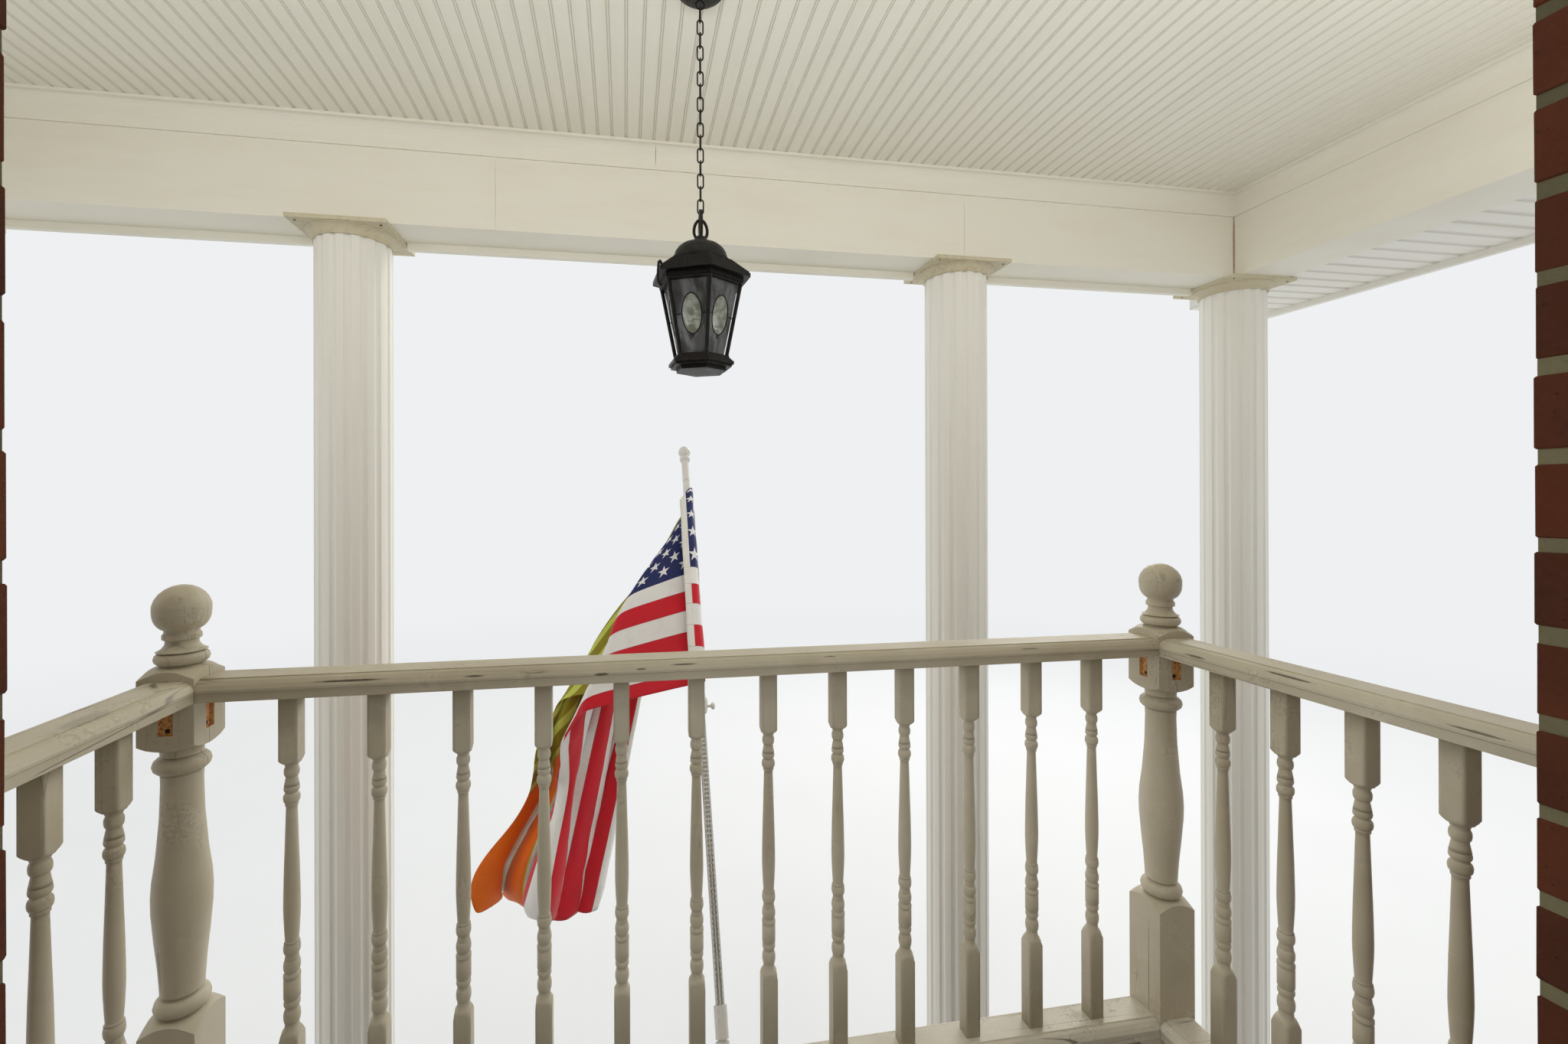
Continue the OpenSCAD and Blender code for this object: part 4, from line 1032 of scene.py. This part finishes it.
class Cloth(Finish):
    """Nylon with its own flat coordinates: across from the hoist, and down from the top."""

    def __init__(self, name):
        super().__init__(name, Specular_IOR_Level=0.35, Sheen_Weight=0.25, Sheen_Roughness=0.4)
        flat = self.node("ShaderNodeUVMap", {"uv_map": "cut"})
        self.across, self.down = self.part("X", flat), self.part("Y", flat)
        self.flat = flat

    def within(self, value, low, high, soft):
        return self.ease(value, low - soft, low + soft) * self.ease(value, high + soft, high - soft)

    def seam(self, value, every, soft):
        """1 close to each line of a row of equal bands."""
        place = (value / every) % 1.0
        return self.sum("MAXIMUM", self.ease(place, soft, 0.0), self.ease(place, 1 - soft, 1.0))

    def finished(self, shade, seams):
        weave = self.stretched(FLY, HOIST, 1, self.flat)
        crumple = self.cloud(9.0, 4.0, 0.6, weave, 0.6)
        threads = self.cloud(900.0, 1.0, 0.5, weave)
        heading = self.ease(self.across, 0.0180, 0.0172)
        shade = self.blend(heading, shade, tint(240, 238, 232))
        shade = self.blend(seams * 0.25, shade, tint(60, 54, 60))
        # Painted shade: the cloth is darkened in its crumples
        shade = self.blend(self.ease(crumple, 0.45, 0.75) * 0.12, shade, tint(90, 84, 92))
        return self.set(Base_Color=shade, Roughness=self.ease(crumple, 0.2, 0.8, 0.48, 0.66),
                        Normal=self.relief(crumple * 0.8 + threads * 0.1 + seams * 0.15, 0.004, 0.5))


def stars_finish():
    """Thirteen stripes, and a blue corner with fifty stars in staggered rows."""
    cloth = Cloth("striped_cloth")
    stripes, columns, rows = 13, 12, 10
    canton_w, canton_h, radius, waist = 0.4, 7 / stripes, 0.0240, 0.309
    stripe = cloth.seam(cloth.down, 1 / stripes, 0.035)
    pair = (cloth.down * (stripes / 2)) % 1.0
    shade = cloth.blend(cloth.ease(pair, 0.497, 0.503) * cloth.ease(pair, 1.0, 0.995),
                        tint(214, 22, 42), tint(244, 242, 240))
    canton = cloth.ease(cloth.across, canton_w + 0.0005, canton_w - 0.0005) * cloth.ease(
        cloth.down, canton_h + 0.0008, canton_h - 0.0008)
    x, y = cloth.across * (columns / canton_w), cloth.down * (rows / canton_h)
    found = None
    for shift in (0.0, 1.0):
        sideways = (((x + shift) % 2.0) - 1.0) * (canton_w * FLY / columns)
        upward = (1.0 - ((y + shift) % 2.0)) * (canton_h * HOIST / rows)
        away = cloth.sum("SQRT", sideways * sideways + upward * upward)
        turn = cloth.sum("ARCTAN2", sideways, upward)
        fifth = 2 * math.pi / 5
        folded = cloth.sum("ABSOLUTE", ((turn + fifth / 2) % fifth) - fifth / 2)
        reach = away * cloth.sum("COSINE", folded - fifth)
        star = cloth.ease(reach, waist * radius + 0.0004, waist * radius - 0.0004)
        star = star * cloth.within(x, shift, columns - shift, 0.01)
        star = star * cloth.within(y, shift, rows - shift, 0.01)
        found = star if found is None else cloth.sum("MAXIMUM", found, star)
    field = cloth.blend(found, tint(32, 42, 98), tint(244, 242, 242))
    return cloth.finished(cloth.blend(canton, shade, field), stripe * (1 - canton))


def bands_finish():
    """Orange and white bands, and a slanting green border next to the pole in stripes of lime for painted
    light and olive for painted shade.
    """
    cloth = Cloth("banded_cloth")
    shaded_green, lit_green, orange, white = [tint(*colour) for colour in
                                  ((150, 142, 32), (206, 218, 96), (250, 122, 24), (248, 247, 242))]
    # Painted light: the lit green shows in the thin gaps between the bands
    shade = lit_green
    for low, high, band in ((0.0, 0.09, orange), (0.10, 0.19, white), (0.19, 0.29, orange),
                            (0.30, 0.38, white), (0.38, 0.48, orange), (0.49, 0.58, white),
                            (0.58, 0.67, orange), (0.68, 0.715, white), (0.72, 0.815, orange),
                            (0.82, 0.905, white), (0.91, 1.01, orange)):
        shade = cloth.blend(cloth.within(cloth.down, low, high, 0.0015), shade, band)
    slant, border_w, stripe_w = 0.34, 0.344, 0.075
    edge = cloth.across - cloth.down * slant
    border = cloth.ease(edge, border_w + 0.001, border_w - 0.001)
    # The border's stripes: painted light in lime and painted shade in olive, on one green
    stripe = cloth.within((edge / stripe_w) % 1.0, 0.30, 0.72, 0.02)
    shade = cloth.blend(border, shade, cloth.blend(stripe, shaded_green, lit_green))
    return cloth.finished(shade, cloth.within(edge, border_w - 0.004, border_w + 0.004, 0.001))


def flags():
    stars = flag_guide(
        hoist_at=[(0, (0.165, 0, 0)), (0.22, (0.245, 0, 0)), (7 / 13, (0.475, 0, 0)), (1, (0.835, 0, 0))],
        sleeve=0.022, wrap=(-0.35, 3.5), loose=0.021, droop=0.06,
        fold=[(0, (0.036, -0.61, 3.94)), (0.54, (0.222, -0.43, 3.75)), (1, (0.346, -0.30, 3.45))],
        fall=[(0, (0.285, -0.36, 2.83)), (0.35, (0.33, -0.38, 2.83)), (0.7, (0.42, -0.33, 2.84)),
              (1, (0.51, -0.30, 2.92))],
        waves=3.0, swell=1.0, lean=0.05, sideways=0.05, calm=0.0)
    hung_flag("flag_with_stars", "flag_stars", stars_finish(), stars)
    bands = flag_guide(
        hoist_at=[(0, (0.235, 0, 0)), (0.5, (0.51, 0, 0)), (1, (0.805, 0, 0))],
        sleeve=0.028, wrap=(2.2, 3.7), loose=0.0, droop=0.0,
        fold=[(0, (0.13, -0.60, 3.80)), (0.35, (0.275, -0.54, 3.665)), (0.7, (0.36, -0.52, 3.53)),
              (1, (0.42, -0.50, 3.43))],
        fall=[(0, (0.35, -0.60, 2.86)), (0.5, (0.42, -0.57, 2.81)), (0.75, (0.53, -0.54, 2.82)),
              (1, (0.66, -0.49, 2.86))],
        waves=3.5, swell=1.6, lean=0.03, sideways=0.03, calm=0.4)
    hung_flag("flag_with_bands", "flag_stripes", bands_finish(), bands)


flags()
laid = laid_pieces()
wire = drawn_wire()
balusters(laid)
screws(laid, rust_finish())
lantern_details(wire, dark_bronze)
dress(pane_finish(), "lantern_glass")
smooth_copies(bulb_finish(), "candle", "lantern_candle")
smooth_copies(pole_finish(), "pole_metal", "flagpole")
white_plastic = plastic_finish()
smooth_copies(white_plastic, "pole_plastic", "pole_bracket")
pole_clutch(white_plastic)


# Brickwork: single bricks in running bond on both faces, over a recessed body of mortar
BRICK_L, BRICK_D, BRICK_H, BRICK_CUT = 0.203, 0.120, 0.055, 0.0013
COURSE, BED, JOINT, SOLDIER_OVER = 0.0667, 0.003, 0.0117, 0.100
BRICK_IN, MORTAR_IN, JAMB_OVER = 0.001, 0.0022, 0.0012
# A run ends short of the first, and its last brick is at least as long as the second. A gap cuts a course
# that it laps by the third, and what it leaves of the course is at least as high as the fourth.
RUN_END, LEAST_BRICK, LEAST_LAP, LEAST_SLIP = 0.03, 0.05, 0.012, 0.018
DOOR_X0, DOOR_X1 = DOOR_X - DOOR_W / 2, DOOR_X + DOOR_W / 2
ENTRY_TOP, DOOR_TOP = SLAB_H + ENTRY_H, DECK_Z + DOOR_H
RAFTER_LIFT = ROOF_T * math.sqrt(1 + ROOF_SLOPE ** 2)


def roof_under(x):
    """Height of the roof's underside."""
    return RIDGE_Z - RAFTER_LIFT - abs(x) * ROOF_SLOPE


def roof_reach(z):
    """How far from the middle the roof's underside is at a height."""
    return (RIDGE_Z - RAFTER_LIFT - z) / ROOF_SLOPE


def one_brick():
    """A brick with its edges cut back."""
    shape = bmesh.new()
    bmesh.ops.create_cube(shape, size=1.0)
    bmesh.ops.scale(shape, vec=(BRICK_L, BRICK_D, BRICK_H), verts=shape.verts)
    bmesh.ops.bevel(shape, geom=shape.edges[:], offset=BRICK_CUT, segments=1, affect="EDGES")
    return template("one_brick", shape)


def brick_run(x0, x1, low, high, y, first):
    """Bricks from x0 to x1 in one course. The first is a whole or a half brick."""
    rows, x, length = [], x0, first
    while x < x1 - RUN_END:
        end = min(x + length, x1)
        if x1 - end < LEAST_BRICK:
            end = x1
        rows.append(spot(((x + end) / 2, y, (low + high) / 2),
                         ((end - x) / BRICK_L, 1.0, (high - low) / BRICK_H)))
        x, length = end + JOINT, BRICK_L
    return rows


def brick_face(y, bottom, top):
    """Every brick of one face of the wall, with soldiers over both doorways."""
    doors = ((SLAB_H, ENTRY_TOP), (DECK_Z, DOOR_TOP))
    soldiers = [(high, high + BRICK_L + JOINT) for low, high in doors]
    gaps = [(DOOR_X0, DOOR_X1, low, high) for low, high in doors]
    gaps += [(DOOR_X0 - SOLDIER_OVER, DOOR_X1 + SOLDIER_OVER, low, high) for low, high in soldiers]
    rows = []
    course = 0
    while BED + course * COURSE < top:
        low = BED + course * COURSE + JOINT / 2
        high = low + BRICK_H
        course += 1
        first = BRICK_L if course % 2 else (BRICK_L - JOINT) / 2
        reach = min(HALF_W - BRICK_IN, roof_reach(high))
        if high < bottom or reach < 0.06:
            continue
        cut = [gap for gap in gaps if gap[2] < high - LEAST_LAP and gap[3] > low + LEAST_LAP]
        if not cut:
            rows += brick_run(-reach, reach, low, high, y, first)
            continue
        x0, x1 = min(gap[0] for gap in cut), max(gap[1] for gap in cut)
        under, over = min(gap[2] for gap in cut), max(gap[3] for gap in cut)
        joint = 0 if x0 == DOOR_X0 else JOINT
        rows += [spot((-x, y, z), size) for (x, y, z), size, _
                 in brick_run(-x0 + joint, reach, low, high, y, first)]
        rows += brick_run(x1 + joint, reach, low, high, y, first)
        if under > low + LEAST_SLIP:
            rows += brick_run(x0, x1, low, under - 0.001, y, first)
        if over < high - LEAST_SLIP:
            rows += brick_run(x0, x1, over, high, y, first)
    for low, high in soldiers:
        x0, x1 = DOOR_X0 - SOLDIER_OVER, DOOR_X1 + SOLDIER_OVER
        count = round((x1 - x0 + JOINT) / COURSE)
        pitch = (x1 - x0 + JOINT) / count
        rows += [spot((x0 + (index + 0.5) * pitch - JOINT / 2, y, low + 0.001 + BRICK_L / 2),
                      (1.0, 1.0, (pitch - JOINT) / BRICK_H), (0, math.pi / 2, 0)) for index in range(count)]
    return rows


def clay_finish():
    """Red-brown brick, each a little darker or paler than the next."""
    clay = Finish("brick_clay", Specular_IOR_Level=0.25)
    sand = clay.cloud(170.0, 4.0, 0.7)
    smudge = clay.cloud(15.0, 5.0, 0.6)
    pits = clay.ease(clay.cells(95.0), 0.10, 0.03)
    # Painted shade: the bricks' own red-brown is made darker for the shade of the porch
    shade = clay.blend(clay.read("tone"), tint(84, 40, 18), tint(60, 29, 14))
    shade = clay.blend(clay.ease(clay.cloud(5.0, 3.0), 0.45, 0.7) * 0.55, shade, tint(98, 52, 28))
    shade = clay.blend(clay.ease(smudge, 0.58, 0.74) * 0.5, shade, tint(44, 27, 18))
    shade = clay.blend(pits * 0.6, shade, tint(44, 26, 22))
    return clay.set(Base_Color=shade, Roughness=clay.ease(sand, 0.2, 0.8, 0.78, 0.95),
                    Normal=clay.relief(sand * 0.5 + smudge * 0.7 - pits * 0.6, 0.003, 0.8))


def mortar_finish():
    mortar = Finish("brick_mortar", Specular_IOR_Level=0.2)
    sand = mortar.cloud(230.0, 4.0, 0.75)
    damp = mortar.cloud(3.0, 4.0, 0.6)
    # Painted shade: the mortar's own grey is made darker for the shade of the porch
    shade = mortar.blend(mortar.ease(damp, 0.35, 0.7), tint(112, 106, 80), tint(88, 83, 62))
    shade = mortar.blend(mortar.ease(sand, 0.56, 0.75) * 0.5, shade, tint(84, 78, 66))
    return mortar.set(Base_Color=shade, Roughness=mortar.ease(sand, 0.2, 0.8, 0.85, 0.97),
                      Normal=mortar.relief(sand, 0.002, 0.8))


def brick_walls(laid):
    left, right, side = DOOR_X0 - JAMB_OVER, DOOR_X1 + JAMB_OVER, HALF_W - MORTAR_IN
    entry_top, door_foot, door_top = ENTRY_TOP + MORTAR_IN, DECK_Z - MORTAR_IN, DOOR_TOP + MORTAR_IN
    outlines = [
        [(-side, 0), (left, 0), (left, roof_under(left)), (-side, roof_under(side))],
        [(right, 0), (side, 0), (side, roof_under(side)), (right, roof_under(right))],
        [(left, entry_top), (right, entry_top), (right, door_foot), (left, door_foot)],
        [(left, door_top), (right, door_top), (right, roof_under(right)), (0, roof_under(0)),
         (left, roof_under(left))]]
    body = prisms("wall_mortar", outlines, WALL_Y + MORTAR_IN, BACK_Y - MORTAR_IN)
    add_piece("wall_mortar", body, mortar_finish(), "porch",
              ("wall_left", "wall_right", "wall_over_entry", "wall_over_door"))
    brick = one_brick()
    clay = clay_finish()
    for name, y, bottom, top, seed in (
            ("bricks_front", WALL_Y + BRICK_IN + BRICK_D / 2, SLAB_H, CEILING_Z, 3),
            ("bricks_back", BACK_Y - BRICK_IN - BRICK_D / 2, 0.0, RIDGE_Z, 8)):
        laid.lay(name, spots(name, brick_face(y, bottom, top)), "brick", clay, Piece=brick, Wobble=0.0008,
                 Seed=seed)
    bpy.data.objects.remove(brick)


# Roof: three-tab shingles in courses over the decking, and caps along the ridge
TAB_W, TAB_L, EXPOSURE, TAB_T, DECKING = 0.325, 0.290, 0.1422, 0.011, 0.012
BENT_L, BENT_ARM, BENT_T, BENT_RISE = 0.30, 0.135, 0.004, 0.0035


def shingle_finish():
    slate = Finish("asphalt_shingle", Specular_IOR_Level=0.2)
    grit = slate.cloud(420.0, 3.0, 0.75)
    flecks = slate.cells(260.0)
    shade = slate.blend(slate.read("tone"), tint(74, 72, 70), tint(104, 100, 96))
    shade = slate.blend(slate.ease(slate.cloud(2.2, 4.0), 0.4, 0.7) * 0.5, shade, tint(66, 63, 62))
    shade = slate.blend(slate.ease(grit, 0.54, 0.7) * 0.6, shade, tint(138, 134, 128))
    shade = slate.blend(slate.ease(flecks, 0.22, 0.08) * 0.5, shade, tint(44, 43, 43))
    return slate.set(Base_Color=shade, Roughness=slate.ease(grit, 0.2, 0.8, 0.84, 0.97),
                     Normal=slate.relief(grit * 0.6 - flecks * 0.4, 0.0015, 0.8))


def one_tab():
    """A tab that thins out up the slope, its lower edge on the origin."""
    gap, back, lip, tail = 0.003, 0.003, 0.001, 0.002
    half = TAB_W / 2 - gap
    shape = bmesh.new()
    low = [(0, -half, lip), (0, half, lip), (TAB_L, half, 0), (TAB_L, -half, 0)]
    top = [(back, -half + lip, TAB_T), (back, half - lip, TAB_T), (TAB_L, half, tail), (TAB_L, -half, tail)]
    skin(shape, [[shape.verts.new(place) for place in ring] for ring in (low, top)])
    return template("one_tab", shape)


def one_cap():
    """A shingle bent over the ridge, a little higher at its front edge."""
    shape = bmesh.new()
    rings = []
    outline = [(-BENT_ARM, -BENT_ARM * ROOF_SLOPE), (0, 0), (BENT_ARM, -BENT_ARM * ROOF_SLOPE)]
    for y, lift in ((0, BENT_RISE), (BENT_L, 0)):
        top = [(x, y, z + lift) for x, z in outline]
        under = [(x, y, z + lift - BENT_T - BENT_T * (x == 0)) for x, z in reversed(outline)]
        rings.append([shape.verts.new(place) for place in top + under])
    skin(shape, rings)
    return template("one_cap", shape)


def shingle_rows():
    """Every tab of both slopes, in courses that are half a tab out of line."""
    lean = math.atan(ROOF_SLOPE)
    slope = EAVE_X / math.cos(lean)
    down = DECKING / math.cos(lean)
    rows = []
    for side in (-1, 1):
        for course in range(int(slope / EXPOSURE) + 1):
            up = course * EXPOSURE
            length = min(TAB_L, slope - up)
            x = side * (EAVE_X - up * math.cos(lean))
            z = EAVE_Z - down + up * math.sin(lean)
            y = ROOF_FRONT - (0.5 * TAB_W if course % 2 else 0)
            while y < BACK_Y - 0.02:
                start, end = max(y, ROOF_FRONT), min(y + TAB_W, BACK_Y)
                rows.append(spot((x, (start + end) / 2, z), (length / TAB_L, (end - start) / TAB_W, 1.0),
                                 (0, -lean, math.pi if side > 0 else 0)))
                y += TAB_W
    return rows


def roof(laid):
    down = DECKING / math.cos(math.atan(ROOF_SLOPE))
    slate = shingle_finish()
    for side, node in ((-1, "roof_left"), (1, "roof_right")):
        outline = [(0, RIDGE_Z - down), (side * EAVE_X, EAVE_Z - down),
                   (side * EAVE_X, EAVE_Z - RAFTER_LIFT), (0, RIDGE_Z - RAFTER_LIFT)]
        name = node + "_decking"
        add_piece(name, prisms(name, [outline], ROOF_FRONT, BACK_Y), slate, "porch", (node,))
    tab, cap = one_tab(), one_cap()
    laid.lay("roof_shingles", spots("roof_shingles", shingle_rows()), "shingle", slate, Piece=tab,
             Wobble=0.0006, Seed=21)
    count = int((BACK_Y - ROOF_FRONT) / EXPOSURE)
    along = [spot((0, ROOF_FRONT + index * EXPOSURE, RIDGE_Z - BENT_RISE), turn=(0.008, 0, 0))
             for index in range(count - 1)]
    laid.lay("ridge_caps", spots("ridge_caps", along), "shingle", slate, Piece=cap, Wobble=0.0004, Seed=5)
    for holder in (tab, cap):
        bpy.data.objects.remove(holder)


def gable_siding():
    """Lapped boards on the gable, each thicker at its lower edge."""
    lap, over, thin, thick, sunk = 0.1143, 0.012, 0.003, 0.012, 0.001
    shape = bmesh.new()
    low = CEILING_Z + 0.0005
    while low < roof_under(0) - 0.04:
        high = min(low + lap + over, roof_under(0) - 0.002)
        wide, narrow = [min(HALF_W, roof_reach(z)) - 0.001 for z in (low, high)]
        skin(shape, [[shape.verts.new(place) for place in
                      ((-wide, FRONT_Y - near, low), (wide, FRONT_Y - near, low),
                       (narrow, FRONT_Y - far, high), (-narrow, FRONT_Y - far, high))]
                     for near, far in ((thick, thin), (-sunk, -sunk))])
        low += lap
    add_piece("gable_siding", solid_mesh("gable_siding", shape), eave_paint)


brick_walls(laid)
roof(laid)
gable_siding()


# The stage: a floor that fades into the pale background, and soft lamps far off
PALE = (0.86, 0.87, 0.885, 1)


def pale_floor():
    ground = bmesh.new()
    bmesh.ops.create_grid(ground, x_segments=1, y_segments=1, size=60)
    mesh = as_mesh("pale_floor", ground)
    floor = bpy.data.objects.new("pale_floor", mesh)
    scene.collection.objects.link(floor)
    pale = Finish("pale_floor", Roughness=0.9, Specular_IOR_Level=0.1)
    reach = pale.vector("LENGTH", pale.here, output="Value")
    tone = pale.blend(pale.cloud(0.6, 2.0), tint(220, 220, 218), tint(225, 225, 223))
    pale.set(Base_Color=tone)
    glow = pale.node("ShaderNodeEmission", None, {"Color": PALE, "Strength": 1.0})
    seen = pale.node("ShaderNodeLightPath", None, None, "Is Camera Ray")
    lit = Reading(pale, pale.shader.outputs[0])
    both = pale.node("ShaderNodeMixShader", None, {0: pale.ease(reach, 6.0, 24.0) * seen, 1: lit, 2: glow})
    pale.links.new(both.socket, pale.out.inputs[0])
    mesh.materials.append(pale.material)


def pale_room():
    world = bpy.data.worlds.new("pale_room")
    world.use_nodes = True
    scene.world = world
    sky = Tree()
    sky.nodes = world.node_tree.nodes
    sky.links = world.node_tree.links
    sky.nodes.clear()
    path = {name: sky.node("ShaderNodeLightPath", None, None, name)
            for name in ("Is Camera Ray", "Is Glossy Ray", "Is Transmission Ray")}
    shown = sky.sum("MAXIMUM", sky.sum("MAXIMUM", path["Is Camera Ray"], path["Is Glossy Ray"]),
                    path["Is Transmission Ray"])
    around = sky.node("ShaderNodeBackground", None, {"Color": (0.96, 0.98, 1.0, 1), "Strength": 1.0})
    behind = sky.node("ShaderNodeBackground", None, {"Color": PALE, "Strength": 1.0})
    out = sky.nodes.new("ShaderNodeOutputWorld")
    mixed = sky.node("ShaderNodeMixShader", None, {0: shown, 1: around, 2: behind})
    sky.links.new(mixed.socket, out.inputs[0])


def add_lamp(name, shape, size, power, place):
    lamp = bpy.data.lights.new(name, "AREA")
    lamp.shape = shape
    lamp.size, lamp.size_y = size
    lamp.energy = power
    holder = bpy.data.objects.new(name, lamp)
    holder.location = place
    scene.collection.objects.link(holder)
    return holder


def lamps():
    for name, place, size, power in (("key_lamp", (-9, -11, 12), 9.0, 900),
                                     ("fill_lamp", (8, 9, 7), 8.0, 160)):
        holder = add_lamp(name, "DISK", (size, size), power, place)
        holder.data.color = (1.0, 0.985, 0.96)
        holder.rotation_euler = (Vector((0, 0, 3)) - Vector(place)).to_track_quat("-Z", "Y").to_euler()
    # A long soft lamp high on the house wall lights the beam and the ceiling, which face away from the others
    glow = add_lamp("beam_glow", "RECTANGLE", (4.6, 0.4), 36, (0, WALL_Y - 0.06, 4.95))
    glow.rotation_euler = (math.radians(-124), 0, 0)
    glow.visible_camera = glow.visible_glossy = False


pale_floor()
pale_room()
lamps()
scene.view_settings.view_transform = "Standard"
